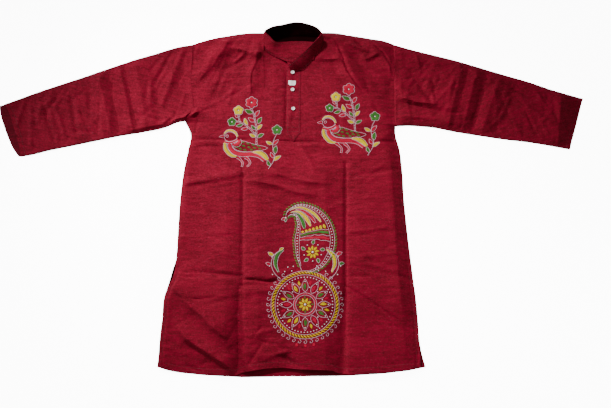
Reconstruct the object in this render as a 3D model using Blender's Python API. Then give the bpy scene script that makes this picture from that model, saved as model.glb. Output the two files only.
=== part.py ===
# Kurta tunic laid out flat on its back: a long shirt of handloom cotton with a band collar, a short
# pointed placket, long sleeves spread wide and slits at both sides of the hem.
# The wearer's left is at +X. Every length below is in millimetres until a mesh is made from it.
import math
from collections import namedtuple

import bpy
import numpy as np

MM = 0.001

WALL = 1.2  # one layer of cloth
SEAM_GAP = 0.3  # space kept where one piece meets another
PANEL_GAP = 0.4  # the front lies this far above the back
SLEEVE_GAP = 0.8  # space inside a flattened sleeve
COLLAR_WALL = 1.6  # two layers and the stiffening between them
COLLAR_BULGE = 2.0  # the band rounds outward between its seam and its edge
PLACKET_WALL = 1.4
LABEL_WALL = 1.0
FOLD_SHARE = 0.015  # share of a sleeve's width over which its folded edges round off
FOLD_DROP = 1.0  # how far the outer face falls at a folded edge
ARMHOLE_GAP = 0.7  # the sleeve's end stands this far outside the body's armhole
FRONT_TOP = WALL + PANEL_GAP + WALL  # outer face of the front where it has no fold

SLIT_TOP_Y = 150.0  # the neck slit ends here, under the placket
BODY_LOW_Y, BODY_HIGH_Y = -452.0, 421.0
ARMPIT_Y = {"left": 196.0, "right": 181.0}
EDGE_FADE = 4  # power with which a bend in the hem or the neckline dies out inwards
ARM_FADE, CUFF_FADE = 6, 8  # the same for the two ends of a sleeve

# Sides of the body, a row for each height. Below the slit tops the two panels part.
Side = namedtuple("Side", "y back_left back_right front_left front_right")
SIDES = [
    Side(-452, -329.0, 337.0, -324.0, 323.0),
    Side(-423, -327.0, 329.5, -325.0, 323.5),
    Side(-398, -326.0, 325.0, -325.0, 323.0),
    Side(-336, -322.0, 322.0, -321.0, 321.0),
    Side(-262, -315.0, 317.0, -313.5, 316.0),
    Side(-241, -309.0, 314.5, -302.5, 314.0),
    Side(-208, -301.0, 311.5, -294.5, 311.0),
    Side(-182, -293.5, 309.0, -293.0, 308.5),
    Side(-103, -291.0, 302.0, -291.0, 302.0),
    Side(-23, -289.0, 296.5, -289.0, 296.5),
    Side(59, -282.0, 294.0, -282.0, 294.0),
    Side(115, -273.0, 289.0, -273.0, 289.0),
    Side(163, -267.0, 279.0, -267.0, 279.0),
    Side(196, -268.0, 279.5, -268.0, 279.5),
    Side(301, -272.0, 282.0, -272.0, 282.0),
    Side(421, -271.0, 283.0, -271.0, 283.0),
]

# Hem, a row for each place across. The front's hem is drawn up a little in the middle.
Hem = namedtuple("Hem", "x back_y front_y")
HEM = [
    Hem(-300, -461, -459),
    Hem(-272, -466, -465),
    Hem(-212, -472, -471),
    Hem(-135, -476, -474),
    Hem(-119, -477, -466),
    Hem(-59, -476, -456),
    Hem(-15, -475, -454),
    Hem(23, -475, -458),
    Hem(106, -474, -461),
    Hem(116, -474, -466),
    Hem(149, -473, -471),
    Hem(233, -468, -466),
    Hem(293, -461, -459),
]

SHOULDER_LEFT = [(-271, 421), (-241, 432), (-208, 441), (-175, 447), (-142, 453), (-109, 456), (-84, 453)]
SHOULDER_RIGHT = [(99, 454), (123, 456), (156, 450), (189, 444), (222, 438), (255, 432), (283, 421)]
BACK_NECK = [(-84, 453), (-65, 444), (-32, 449), (7, 450), (46, 449), (79, 444), (99, 454)]
FRONT_NECK_LEFT = [(-84, 453), (-79, 434), (-75, 411), (-60, 394), (-38, 384), (-9, 364), (5.5, 352)]
FRONT_NECK_RIGHT = [(8.5, 345), (31, 347), (52, 368), (71, 393), (89, 419), (94, 434), (99, 454)]

# Collar band, a row for each section: the sewn edge, then the free edge. It starts at the end that
# lies underneath, turns at the front, runs round behind the neck and ends over its own beginning.
Band = namedtuple("Band", "seam_x seam_y seam_z edge_x edge_y edge_z")
COLLAR = [
    Band(43, 411, 5.9, 62, 416, 33),
    Band(24, 409, 5.9, 46, 415, 36),
    Band(2, 405, 5.9, 24, 414, 38),
    Band(-20, 394, 5.9, 2, 413, 38),
    Band(-38, 387, 5.9, -22, 412, 36),
    Band(-61, 393, 5.0, -41, 413, 35),
    Band(-77, 411, 4.6, -58, 430, 34),
    Band(-80, 434, 4.4, -72, 446, 34),
    Band(-65, 442, 3.4, -58, 457, 33),
    Band(-32, 447, 2.8, -25, 467, 30),
    Band(7, 448, 2.8, 13, 475.9, 28),
    Band(46, 447, 2.8, 51, 468, 29),
    Band(79, 442, 3.6, 79, 453, 32),
    Band(95, 434, 4.6, 88, 440, 34),
    Band(91, 419, 5.0, 76, 425, 34),
    Band(73, 393, 5.6, 55, 406, 31),
    Band(54, 367, 6.6, 33, 385, 28),
    Band(32, 346, 7.8, 11, 367, 23),
    Band(13, 347, 7.8, -3, 356, 17),
    Band(-5, 349, 7.8, -9, 355, 11),
]

# Sleeves: the upper folded edge, the lower one, and where each layer ends at the cuff.
SLEEVE_LEFT = {
    "upper_edge": [(-307, 414), (-372, 393), (-436, 372), (-501, 348), (-564, 324), (-628, 301),
                   (-691, 278), (-754, 254), (-781, 244.5)],
    "lower_edge": [(-298, 194), (-337, 178), (-393, 165), (-456, 154), (-520, 140), (-582, 126),
                   (-645, 112), (-692, 99), (-717, 94)],
    "top_cuff": [(-773, 244.5), (-759, 220), (-743, 181), (-731, 150), (-715, 96)],
    "under_cuff": [(-788.8, 245), (-781, 212), (-769, 181), (-754, 147), (-740, 120), (-720, 94)],
}
SLEEVE_RIGHT = {
    "upper_edge": [(321, 408), (386, 390), (451, 372), (516, 351), (580, 330), (644, 310),
                   (707, 286), (771, 266), (788.8, 261)],
    "lower_edge": [(314, 183), (346, 181), (378, 178), (441, 165), (505, 154), (568, 144),
                   (632, 136), (695, 125), (741, 116)],
    "top_cuff": [(788.8, 261), (774, 214), (758, 165), (741, 116)],
    "under_cuff": [(787.8, 261), (773, 214), (757, 165), (740, 116)],
}

# Raised folds, a row for each: a line on the cloth, how far it spreads each side and its height.
Fold = namedtuple("Fold", "x0 y0 x1 y1 spread height")
FRONT_FOLDS = [
    Fold(-126, 62, -117, -440, 13, 2.2),  # pressed crease down the left
    Fold(146, 73, 138, -290, 13, 2.2),  # pressed crease down the right
    Fold(138, -300, 133, -450, 12, 5.5),
    Fold(-255, 144, -50, 144, 12, 2.0),  # creases across
    Fold(225, 137, 280, 137, 12, 2.2),
    Fold(-255, -226, -120, -226, 12, 2.4),
    Fold(-120, -250, 25, -244, 13, 4.0),
    Fold(-262, 12, -128, 37, 13, 2.6),
    Fold(-110, 32, 74, -12, 13, 2.6),
    Fold(5, 45, 95, 29, 12, 2.0),
    Fold(-290, -264, -178, -282, 13, 2.8),  # soft folds above the slits
    Fold(-280, -290, -135, -385, 15, 4.4),
    Fold(-265, -366, -148, -445, 15, 4.4),
    Fold(142, -250, 300, -352, 15, 2.8),
    Fold(-251, 310, -201, 372, 14, 3.2),  # left shoulder
    Fold(-226, 289, -176, 410, 13, 4.4),
    Fold(-166, 417, -140, 402, 12, 4.4),
    Fold(-150, 408, -92, 388, 12, 5.0),
    Fold(-92, 372, -106, 285, 13, 4.4),
    Fold(112, 430, 160, 327, 13, 4.4),  # right shoulder
    Fold(160, 327, 200, 272, 13, 3.2),
    Fold(151, 425, 205, 399, 12, 4.0),
    Fold(214, 425, 275, 345, 13, 4.4),
]
LEFT_SLEEVE_FOLDS = [
    Fold(-526, 323, -509, 170, 13, 4.2),
    Fold(-500, 335, -476, 173, 12, 3.6),
    Fold(-478, 340, -425, 172, 13, 4.2),
    Fold(-427, 355, -387, 219, 13, 3.6),
    Fold(-637, 251, -602, 142, 13, 3.2),
    Fold(-581, 262, -565, 170, 12, 3.2),
    Fold(-300, 395, -345, 250, 15, 3.0),
]
RIGHT_SLEEVE_FOLDS = [
    Fold(477, 345, 423, 190, 13, 4.2),
    Fold(515, 335, 470, 207, 13, 4.2),
    Fold(571, 312, 505, 172, 13, 4.0),
    Fold(616, 296, 534, 165, 13, 4.0),
    Fold(290, 250, 345, 243, 13, 3.4),
    Fold(345, 243, 430, 216, 13, 3.4),
    Fold(298, 396, 412, 362, 13, 3.4),
]

PLACKET = {
    "left": -11.5,
    "right": 24.2,
    "top": 345.0,
    "shoulder": 160.0,  # the sides end here and the point begins
    "point": (7.5, 139.0),
    "tip": 2.0,  # width left at the point
    "under_until": 15.5,  # the under placket reaches this far to the right
}
UNDER_PLACKET = {
    "low": 172.0,
    "left_edge": [(-8, 172), (-8, 260), (-8, 346), (-11, 365), (-40, 382.5)],
    "right_edge": [(12, 172), (12, 260), (12, 346), (34, 362), (56, 387), (60, 411.5)],
    "top_edge": [(-40, 382.5), (-20, 389.5), (2, 400), (24, 406), (60, 411.5)],
}
LABEL = {"left": -8.7, "right": 13.5, "low": 297.0, "high": 312.0, "corner": 4.0}
BUTTONS = {
    "places": [(4.0, 336.0), (4.0, 285.0), (6.0, 229.0)],
    "radius": 5.5,
    "thickness": 2.6,
    "rim": 1.2,  # width of the raised rim
    "dish": 0.5,  # depth of the hollow inside it
    "sides": 28,
}

FRONT_CELLS = {"shoulder": 11, "neck": 8, "rows": 44}  # across each shoulder and each half of the neck
BACK_CELLS = {"shoulder": 6, "neck": 6, "rows": 26}
SLEEVE_CELLS = {"across": 10, "along": 28}
COLLAR_CELLS = {"along": 58, "across": 4}
NECK_SHARE = (0.365, 0.645)  # shares of the width where the neck begins and ends
SLIT_SHARE = (0.4975, 0.5025)

COLORS = {
    "cloth": (0.27, 0.016, 0.035),
    "button": (0.88, 0.86, 0.80),
    "label": (0.86, 0.85, 0.82),
}


def start_clean():
    for thing in list(bpy.data.objects):
        bpy.data.objects.remove(thing, do_unlink=True)


def finish_of(name, color, roughness):
    material = bpy.data.materials.new(name)
    material.use_nodes = True
    shader = material.node_tree.nodes["Principled BSDF"]
    shader.inputs["Base Color"].default_value = (*color, 1.0)
    shader.inputs["Roughness"].default_value = roughness
    shader.inputs["Metallic"].default_value = 0.0
    return material


def hermite(knots, values, at):
    """Smooth values between knots, for numbers or for points."""
    knots = np.asarray(knots, float)
    values = np.asarray(values, float)
    at = np.clip(np.asarray(at, float), knots[0], knots[-1])
    slopes = np.gradient(values, knots, axis=0)
    cell = np.clip(np.searchsorted(knots, at, side="right") - 1, 0, len(knots) - 2)
    span = knots[cell + 1] - knots[cell]
    t = (at - knots[cell]) / span
    if values.ndim > 1:
        span, t = span[:, None], t[:, None]
    start = (2 * t**3 - 3 * t**2 + 1) * values[cell] + (t**3 - 2 * t**2 + t) * span * slopes[cell]
    end = (3 * t**2 - 2 * t**3) * values[cell + 1] + (t**3 - t**2) * span * slopes[cell + 1]
    return start + end


def by_length(points):
    """Share of a line's length at each of its points."""
    steps = np.linalg.norm(np.diff(np.asarray(points, float), axis=0), axis=1)
    return np.concatenate([[0.0], np.cumsum(steps)]) / steps.sum()


def along(points, at):
    """Places along a smooth line through the points, at given shares of its length."""
    return hermite(by_length(points), points, at)


def side_x(column, y):
    """Where the body's side runs at a height."""
    return hermite([row.y for row in SIDES], [getattr(row, column) for row in SIDES], y)


def patch(left, right, low, high, shares):
    """Plan of a panel inside four edges: left and right have a point for each row, low and high one
    for each column, at these shares of the width. The bends of low and high die out inwards."""
    v = np.linspace(0, 1, len(left))[:, None, None]
    u = np.asarray(shares)[None, :, None]
    grid = (1 - u) * left[:, None, :] + u * right[:, None, :]
    low_bend = low[None] - grid[:1]
    high_bend = high[None] - grid[-1:]
    return grid + (1 - v) ** EDGE_FADE * low_bend + v**EDGE_FADE * high_bend


def fold_height(folds, x, y):
    """Height that the folds add at each place."""
    height = np.zeros_like(x)
    for fold in folds:
        run = np.array([fold.x1 - fold.x0, fold.y1 - fold.y0], float)
        length = np.linalg.norm(run)
        run /= length
        place = (x - fold.x0) * run[0] + (y - fold.y0) * run[1]
        off = (x - fold.x0) * run[1] - (y - fold.y0) * run[0]
        beyond = np.maximum(0.0, np.maximum(-place, place - length))
        height += fold.height * np.exp(-(off**2 + beyond**2) / fold.spread**2)
    return height


def front_height(x, y):
    """Outer face of the front, away from its edges."""
    return FRONT_TOP + fold_height(FRONT_FOLDS, x, y)


def with_height(plan, height):
    """Plan points raised to their heights, one height for all or one for each."""
    height = np.broadcast_to(height, plan.shape[:-1])
    return np.concatenate([plan, height[..., None]], axis=-1)


def new_object(name, points, faces, material):
    mesh = bpy.data.meshes.new(name)
    mesh.from_pydata([tuple(MM * c for c in point) for point in points], [], faces)
    mesh.materials.append(material)
    mesh.shade_smooth()
    mesh.set_sharp_from_angle(angle=math.radians(40))
    thing = bpy.data.objects.new(name, mesh)
    bpy.context.collection.objects.link(thing)
    return thing


def wall(name, outer, inner, material, keep=None):
    """Closed sheet between two grids of points. Cells that keep leaves out stay open."""
    rows, columns = outer.shape[:2]
    if keep is None:
        keep = np.ones((rows - 1, columns - 1), bool)
    shift = rows * columns
    steps = ((0, 0, -1, 0), (0, 1, 0, 1), (1, 1, 1, 0), (1, 0, 0, -1))  # corner, neighbour across
    faces = []
    for i, j in np.argwhere(keep):
        ring = [int((i + a) * columns + j + b) for a, b, _, _ in steps]
        faces.append(ring)
        faces.append([corner + shift for corner in reversed(ring)])
        for k, (_, _, down, across) in enumerate(steps):
            near_i, near_j = i + down, j + across
            inside = 0 <= near_i < rows - 1 and 0 <= near_j < columns - 1
            if inside and keep[near_i, near_j]:
                continue
            a, b = ring[k], ring[(k + 1) % 4]
            faces.append([b, a, a + shift, b + shift])
    points = np.concatenate([outer.reshape(-1, 3), inner.reshape(-1, 3)])
    return new_object(name, points, faces, material)


def shoulder_and_neck(neck_runs, shoulder_cells, neck_cells):
    """The panel's high edge with the share of the width at each point. Runs of the neck that don't
    meet leave a cell between them."""
    bounds = [0.0, NECK_SHARE[0], *(SLIT_SHARE if len(neck_runs) > 1 else ()), NECK_SHARE[1], 1.0]
    spans = [bounds[:2], *(bounds[1:-1][i : i + 2] for i in range(0, 2 * len(neck_runs), 2)), bounds[-2:]]
    runs = [SHOULDER_LEFT, *neck_runs, SHOULDER_RIGHT]
    cells = [shoulder_cells, *([neck_cells] * len(neck_runs)), shoulder_cells]
    points, shares = [], []
    for run, span, count in zip(runs, spans, cells):
        for share, point in zip(np.linspace(*span, count + 1), along(run, np.linspace(0, 1, count + 1))):
            if shares and share <= shares[-1] + 1e-9:
                continue  # the run before ended here
            points.append(point)
            shares.append(share)
    return np.array(points), np.array(shares)


def hem_edge(side_columns, hem_column, shares):
    """The panel's low edge, from corner to corner."""
    left, right = (getattr(SIDES[0], column) for column in side_columns)
    x = left + np.asarray(shares) * (right - left)
    places = [left] + [row.x for row in HEM] + [right]
    heights = [BODY_LOW_Y] + [getattr(row, hem_column) for row in HEM] + [BODY_LOW_Y]
    return np.stack([x, np.interp(x, places, heights)], axis=-1)


def body_plan(panel, neck_runs, cells):
    """Plan points of the front or the back, and the shares of its width."""
    high, shares = shoulder_and_neck(neck_runs, cells["shoulder"], cells["neck"])
    y = np.linspace(BODY_LOW_Y, BODY_HIGH_Y, cells["rows"] + 1)
    columns = (panel + "_left", panel + "_right")
    left, right = (np.stack([side_x(column, y), y], axis=-1) for column in columns)
    low = hem_edge(columns, panel + "_y", shares)
    return patch(left, right, low, high, shares), shares


def make_back(material):
    plan, _ = body_plan("back", [BACK_NECK], BACK_CELLS)
    return wall("back_panel", with_height(plan, WALL), with_height(plan, 0.0), material)


def make_front(material):
    """Front with its neckline and the slit that the placket covers."""
    plan, shares = body_plan("front", [FRONT_NECK_LEFT, FRONT_NECK_RIGHT], FRONT_CELLS)
    rows = np.linspace(0, 1, len(plan))[:, None]
    fade = np.clip(8 * np.minimum(shares, 1 - shares), 0, 1)[None, :] * np.clip(10 * (1 - rows), 0, 1)
    height = FRONT_TOP + fold_height(FRONT_FOLDS, plan[..., 0], plan[..., 1]) * fade
    slit = FRONT_CELLS["shoulder"] + FRONT_CELLS["neck"]
    keep = np.ones((len(plan) - 1, len(shares) - 1), bool)
    keep[plan[:-1, slit, 1] > SLIT_TOP_Y, slit] = False
    return wall("front_panel", with_height(plan, height), with_height(plan, height - WALL), material, keep)


def tube(name, outer, inner, flip, material):
    """Closed wall between two sets of rings, open at both ends."""
    stations, around = outer.shape[:2]
    shift = stations * around
    faces = []
    for i in range(stations):
        for j in range(around):
            a, b = i * around + j, i * around + (j + 1) % around
            if i == 0:
                faces.append([b, a, a + shift, b + shift])
            if i == stations - 1:
                faces.append([a, b, b + shift, a + shift])
                continue
            faces.append([a, b, b + around, a + around])
            faces.append([a + around + shift, b + around + shift, b + shift, a + shift])
    if flip:
        faces = [face[::-1] for face in faces]
    points = np.concatenate([outer.reshape(-1, 3), inner.reshape(-1, 3)])
    return new_object(name, points, faces, material)


def make_sleeve(side, edges, folds, material):
    """Flattened tube, open at the armhole and at the cuff: an upper and an under layer that turn into
    each other along two folded edges."""
    outward = -1 if side == "left" else 1
    s = np.linspace(0, 1, SLEEVE_CELLS["along"] + 1)
    armhole_y = np.linspace(BODY_HIGH_Y, ARMPIT_Y[side], len(s))
    armhole = np.stack([side_x("back_" + side, armhole_y) + outward * ARMHOLE_GAP, armhole_y], axis=-1)
    upper = along([tuple(armhole[0])] + edges["upper_edge"], s)
    lower = along([tuple(armhole[-1])] + edges["lower_edge"], s)

    def layer_plan(cuff, shares):
        u = shares[None, :, None]
        plan = (1 - u) * upper[:, None] + u * lower[:, None]
        arm_bend = along(armhole, shares)[None] - plan[:1]
        cuff_bend = along(edges[cuff], shares)[None] - plan[-1:]
        return plan + ((1 - s) ** ARM_FADE)[:, None, None] * arm_bend + (s**CUFF_FADE)[:, None, None] * cuff_bend

    inside = np.linspace(0, 1, SLEEVE_CELLS["across"] + 1)[1:-1]
    outer_shares = np.array([0.0, FOLD_SHARE, *inside, 1 - FOLD_SHARE, 1.0])
    inner_shares = np.array([0.6 * FOLD_SHARE, 1.6 * FOLD_SHARE, *inside, 1 - 1.6 * FOLD_SHARE, 1 - 0.6 * FOLD_SHARE])
    drop = np.zeros(len(outer_shares))
    drop[[0, -1]] = FOLD_DROP

    def crown(plan):
        fade = np.clip(5 * np.minimum(outer_shares, 1 - outer_shares), 0, 1)
        return 2 * WALL + SLEEVE_GAP + fold_height(folds, plan[..., 0], plan[..., 1]) * fade

    top_out, under_out = (layer_plan(cuff, outer_shares) for cuff in ("top_cuff", "under_cuff"))
    top_in, under_in = (layer_plan(cuff, inner_shares) for cuff in ("top_cuff", "under_cuff"))
    outer_rings = [with_height(top_out, crown(top_out) - drop), with_height(under_out, drop)[:, ::-1]]
    inner_rings = [with_height(top_in, crown(top_out) - WALL), with_height(under_in, WALL)[:, ::-1]]
    return tube("sleeve_" + side, *(np.concatenate(rings, axis=1) for rings in (outer_rings, inner_rings)),
                side == "left", material)


def make_collar(material):
    """Band collar: one strip whose two ends cross at the front."""
    seam = np.array([row[:3] for row in COLLAR], float)
    edge = np.array([row[3:] for row in COLLAR], float)
    knots = by_length((seam + edge) / 2)
    at = np.linspace(0, 1, COLLAR_CELLS["along"] + 1)
    seam, edge = hermite(knots, seam, at), hermite(knots, edge, at)
    across = np.linspace(0, 1, COLLAR_CELLS["across"] + 1)[None, :, None]
    middle = (1 - across) * seam[:, None] + across * edge[:, None]
    out = facing(middle)
    middle = middle + COLLAR_BULGE * np.sin(math.pi * across) * out
    half = facing(middle) * COLLAR_WALL / 2
    return wall("collar_band", middle + half, middle - half, material)


def facing(grid):
    """Direction that a grid of points faces at each of them."""
    down, across = np.gradient(grid, axis=0), np.gradient(grid, axis=1)
    normal = np.cross(across, down)
    return normal / np.linalg.norm(normal, axis=-1, keepdims=True)


def placket_lift(x, y):
    """How far the upper placket is held off the front by the one under it."""
    across = np.clip((PLACKET["right"] - x) / (PLACKET["right"] - PLACKET["under_until"]), 0, 1)
    up = np.clip((y - PLACKET["shoulder"]) / (UNDER_PLACKET["low"] - PLACKET["shoulder"]), 0, 1)
    return (WALL + SEAM_GAP) * across * up


def placket_top(x, y):
    """Outer face of the upper placket."""
    return front_height(x, y) + SEAM_GAP + placket_lift(x, y) + PLACKET_WALL


def make_placket(material):
    """Upper strip of the placket, with its point."""
    low, high = PLACKET["shoulder"], PLACKET["top"]
    y = np.array([*np.linspace(PLACKET["point"][1], low, 4), *np.linspace(UNDER_PLACKET["low"], high, 10)])
    to_point = np.clip((low - y) / (low - PLACKET["point"][1]), 0, 1)
    x_left = PLACKET["left"] + to_point * (PLACKET["point"][0] - PLACKET["tip"] / 2 - PLACKET["left"])
    x_right = PLACKET["right"] + to_point * (PLACKET["point"][0] + PLACKET["tip"] / 2 - PLACKET["right"])
    shares = (np.array([PLACKET["left"], -2.0, 7.0, PLACKET["under_until"], PLACKET["right"]]) - PLACKET["left"])
    shares = shares / (PLACKET["right"] - PLACKET["left"])
    x = x_left[:, None] + shares[None, :] * (x_right - x_left)[:, None]
    plan = np.stack([x, np.broadcast_to(y[:, None], x.shape)], axis=-1)
    top = placket_top(plan[..., 0], plan[..., 1])
    return wall("placket_upper", with_height(plan, top), with_height(plan, top - PLACKET_WALL), material)


def make_under_placket(material):
    """Strip under the upper placket. Its head widens into the corner that shows in the open neck."""
    v = np.linspace(0, 1, 15)
    left, right = (along(UNDER_PLACKET[edge], v) for edge in ("left_edge", "right_edge"))
    shares = np.linspace(0, 1, 6)
    low = left[0] + shares[:, None] * (right[0] - left[0])
    plan = patch(left, right, low, along(UNDER_PLACKET["top_edge"], shares), shares)
    bottom = front_height(plan[..., 0], np.minimum(plan[..., 1], PLACKET["top"])) + SEAM_GAP
    return wall("placket_under", with_height(plan, bottom + WALL), with_height(plan, bottom), material)


def make_label(material):
    """Small blank label between the first two buttons, its lower corners cut off."""
    y = np.array([LABEL["low"], LABEL["low"] + LABEL["corner"], LABEL["high"]])
    cut = np.array([LABEL["corner"], 0.0, 0.0])
    shares = np.linspace(0, 1, 4)
    left, right = LABEL["left"] + cut, LABEL["right"] - cut
    x = left[:, None] + shares[None, :] * (right - left)[:, None]
    plan = np.stack([x, np.broadcast_to(y[:, None], x.shape)], axis=-1)
    bottom = placket_top(plan[..., 0], plan[..., 1]) + SEAM_GAP
    return wall("placket_label", with_height(plan, bottom + LABEL_WALL), with_height(plan, bottom), material)


def make_button(name, place, material):
    """Turned disc with a raised rim, its flat back on the placket."""
    radius, thick = BUTTONS["radius"], BUTTONS["thickness"]
    inner = radius - BUTTONS["rim"]
    profile = [(radius * 0.82, 0.0), (radius, thick * 0.4), (radius * 0.94, thick), (inner, thick),
               (inner * 0.8, thick - BUTTONS["dish"])]
    sides = BUTTONS["sides"]
    points = [(r * math.cos(2 * math.pi * k / sides), r * math.sin(2 * math.pi * k / sides), z)
              for r, z in profile for k in range(sides)]
    faces = [[level * sides + k, level * sides + (k + 1) % sides,
              (level + 1) * sides + (k + 1) % sides, (level + 1) * sides + k]
             for level in range(len(profile) - 1) for k in range(sides)]
    faces.append(list(reversed(range(sides))))
    faces.append([(len(profile) - 1) * sides + k for k in range(sides)])
    button = new_object(name, points, faces, material)
    x, y = (np.array([value]) for value in place)
    button.location = (place[0] * MM, place[1] * MM, (placket_top(x, y)[0] + SEAM_GAP) * MM)
    return button


def main():
    start_clean()
    cloth = finish_of("cloth", COLORS["cloth"], 0.85)
    make_back(cloth)
    make_front(cloth)
    make_sleeve("left", SLEEVE_LEFT, LEFT_SLEEVE_FOLDS, cloth)
    make_sleeve("right", SLEEVE_RIGHT, RIGHT_SLEEVE_FOLDS, cloth)
    make_collar(cloth)
    make_under_placket(cloth)
    make_placket(cloth)
    make_label(finish_of("label", COLORS["label"], 0.7))
    shell = finish_of("button", COLORS["button"], 0.3)
    for number, place in enumerate(BUTTONS["places"], 1):
        make_button(f"button_{number}", place, shell)


main()
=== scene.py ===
# Kurta tunic laid out flat on its back: thin cloth shells with their creases, seams and sewing, the band
# collar, the placket with its buttons and blank label, and raised embroidery in coloured threads.
# The wearer's left is at +X, while left and right in names are as seen from above. Lengths are in millimetres
# until a mesh, a light or the camera is made.
import math
from collections import namedtuple

import bpy
import numpy as np
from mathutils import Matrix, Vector
from mathutils.bvhtree import BVHTree


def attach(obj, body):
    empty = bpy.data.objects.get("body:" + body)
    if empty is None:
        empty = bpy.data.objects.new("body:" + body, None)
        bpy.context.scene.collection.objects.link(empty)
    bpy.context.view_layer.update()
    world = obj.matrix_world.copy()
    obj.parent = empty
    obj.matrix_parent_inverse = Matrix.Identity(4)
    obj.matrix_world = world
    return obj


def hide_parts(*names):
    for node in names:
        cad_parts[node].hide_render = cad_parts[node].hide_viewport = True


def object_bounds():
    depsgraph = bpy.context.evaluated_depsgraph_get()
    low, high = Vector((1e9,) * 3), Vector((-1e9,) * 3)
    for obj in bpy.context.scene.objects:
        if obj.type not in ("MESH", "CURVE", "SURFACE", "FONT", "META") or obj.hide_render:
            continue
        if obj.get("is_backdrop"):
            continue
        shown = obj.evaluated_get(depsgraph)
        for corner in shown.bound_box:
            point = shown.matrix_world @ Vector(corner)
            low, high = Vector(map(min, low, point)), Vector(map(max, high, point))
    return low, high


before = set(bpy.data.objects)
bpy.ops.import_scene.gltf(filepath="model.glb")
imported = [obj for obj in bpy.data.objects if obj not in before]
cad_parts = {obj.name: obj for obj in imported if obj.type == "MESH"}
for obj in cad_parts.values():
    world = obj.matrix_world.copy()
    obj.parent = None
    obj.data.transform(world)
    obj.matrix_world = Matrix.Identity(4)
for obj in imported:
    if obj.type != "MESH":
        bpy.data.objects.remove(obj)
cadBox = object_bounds()
mm = 0.001


# Camera, lights and floor

view = dict(lens=48.0, tilt=15.0, target=(0.0389, -0.0330), distance=2.1296)
lighting = dict(
    key=dict(place=(-0.84, 1.67, 1.58), aim=(0.08, -0.45, 0.0), radius=0.13, cone=45.0, watts=432.0,
             color=(1.0, 0.985, 0.965)),
    side=dict(place=(-3.2, 0.7, 0.95), aim=(2.09, -0.33, 0.0), radius=0.14, cone=27.0, watts=650.0,
              color=(1.0, 0.985, 0.965)),
    sky=(1.0, 0.95, 0.92), skyStrength=0.39,
)
floorLook = dict(size=9.0, color=(0.93, 0.93, 0.93), roughness=0.7, glow=11.0)


def placed(name, data):  # an object of its own in the scene
    thing = bpy.data.objects.new(name, data)
    bpy.context.collection.objects.link(thing)
    return thing


def makeCamera():
    camera = placed("camera", bpy.data.cameras.new("camera"))
    camera.data.lens = view["lens"]
    tilt = math.radians(view["tilt"])
    x, y = view["target"]
    camera.location = (x, y - view["distance"] * math.sin(tilt), view["distance"] * math.cos(tilt))
    camera.rotation_euler = (tilt, 0.0, 0.0)
    bpy.context.scene.camera = camera


def makeLight(name, look):  # a soft lamp whose pool of light fades outwards
    data = bpy.data.lights.new(name, "SPOT")
    data.energy, data.color, data.shadow_soft_size = look["watts"], look["color"], look["radius"]
    data.spot_size, data.spot_blend = math.radians(look["cone"]), 1.0
    light = placed(name, data)
    light.location = look["place"]
    light.rotation_euler = (Vector(look["aim"]) - light.location).to_track_quat("-Z", "Y").to_euler()


def makeSky():
    world = bpy.data.worlds.new("sky")
    world.use_nodes = True
    background = world.node_tree.nodes["Background"]
    background.inputs["Color"].default_value = (*lighting["sky"], 1.0)
    background.inputs["Strength"].default_value = lighting["skyStrength"]
    bpy.context.scene.world = world


# Shader maths: a wrapped socket takes part in sums, and each sum adds its node

class Sock:
    def __init__(self, finish, socket):
        self.finish, self.socket = finish, socket

    def math(self, operation, *values):
        return self.finish.node("ShaderNodeMath", {"operation": operation}, dict(enumerate(values)))

    def __add__(self, other):
        return self.math("ADD", self, other)

    def __sub__(self, other):
        return self.math("SUBTRACT", self, other)

    def __rsub__(self, other):
        return self.math("SUBTRACT", other, self)

    def __mul__(self, other):
        return self.math("MULTIPLY", self, other)

    __radd__, __rmul__ = __add__, __mul__


class Finish:
    def __init__(self, name, constants):
        self.material = bpy.data.materials.new(name)
        self.material.use_nodes = True
        self.tree = self.material.node_tree
        self.shader = self.tree.nodes["Principled BSDF"]
        for socket, value in constants.items():
            self.shader.inputs[socket].default_value = value

    def node(self, kind, settings=None, sockets=None, out=0):
        node = self.tree.nodes.new(kind)
        for key, value in (settings or {}).items():
            setattr(node, key, value)
        for key, value in (sockets or {}).items():
            self.feed(node.inputs[key], value)
        return Sock(self, node.outputs[out])

    def feed(self, socket, value):
        if isinstance(value, Sock):
            self.tree.links.new(value.socket, socket)
        else:
            socket.default_value = value

    def shade(self, socket, value):
        self.feed(self.shader.inputs[socket], value)

    def place(self, turn=0.0, scale=(1.0, 1.0, 1.0)):  # object space turned about Z, then stretched
        here = self.node("ShaderNodeTexCoord", out=3)
        spin = (0.0, 0.0, math.radians(turn))
        aligned = self.node("ShaderNodeMapping", {}, {"Vector": here, "Rotation": spin})
        return self.node("ShaderNodeVectorMath", {"operation": "MULTIPLY"}, {0: aligned, 1: scale})

    def noise(self, at, scale=1.0, detail=2.0, roughness=0.5):
        return self.node("ShaderNodeTexNoise", {},
                         {"Vector": at, "Scale": scale, "Detail": detail, "Roughness": roughness})

    def ramp(self, value, low, high):  # black up to low and white from high on
        ramp = self.node("ShaderNodeValToRGB", {}, {"Fac": value})
        for element, place in zip(ramp.socket.node.color_ramp.elements, (low, high)):
            element.position = place
        return ramp

    def mix(self, factor, first, second):
        return self.node("ShaderNodeMix", {"data_type": "RGBA"}, {0: factor, 6: first, 7: second}, out=2)

    def bump(self, height, distance, strength=1.0, after=None):
        sockets = {"Height": height, "Distance": distance, "Strength": strength}
        if after:
            sockets["Normal"] = after
        return self.node("ShaderNodeBump", {}, sockets)


# Finishes

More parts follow.
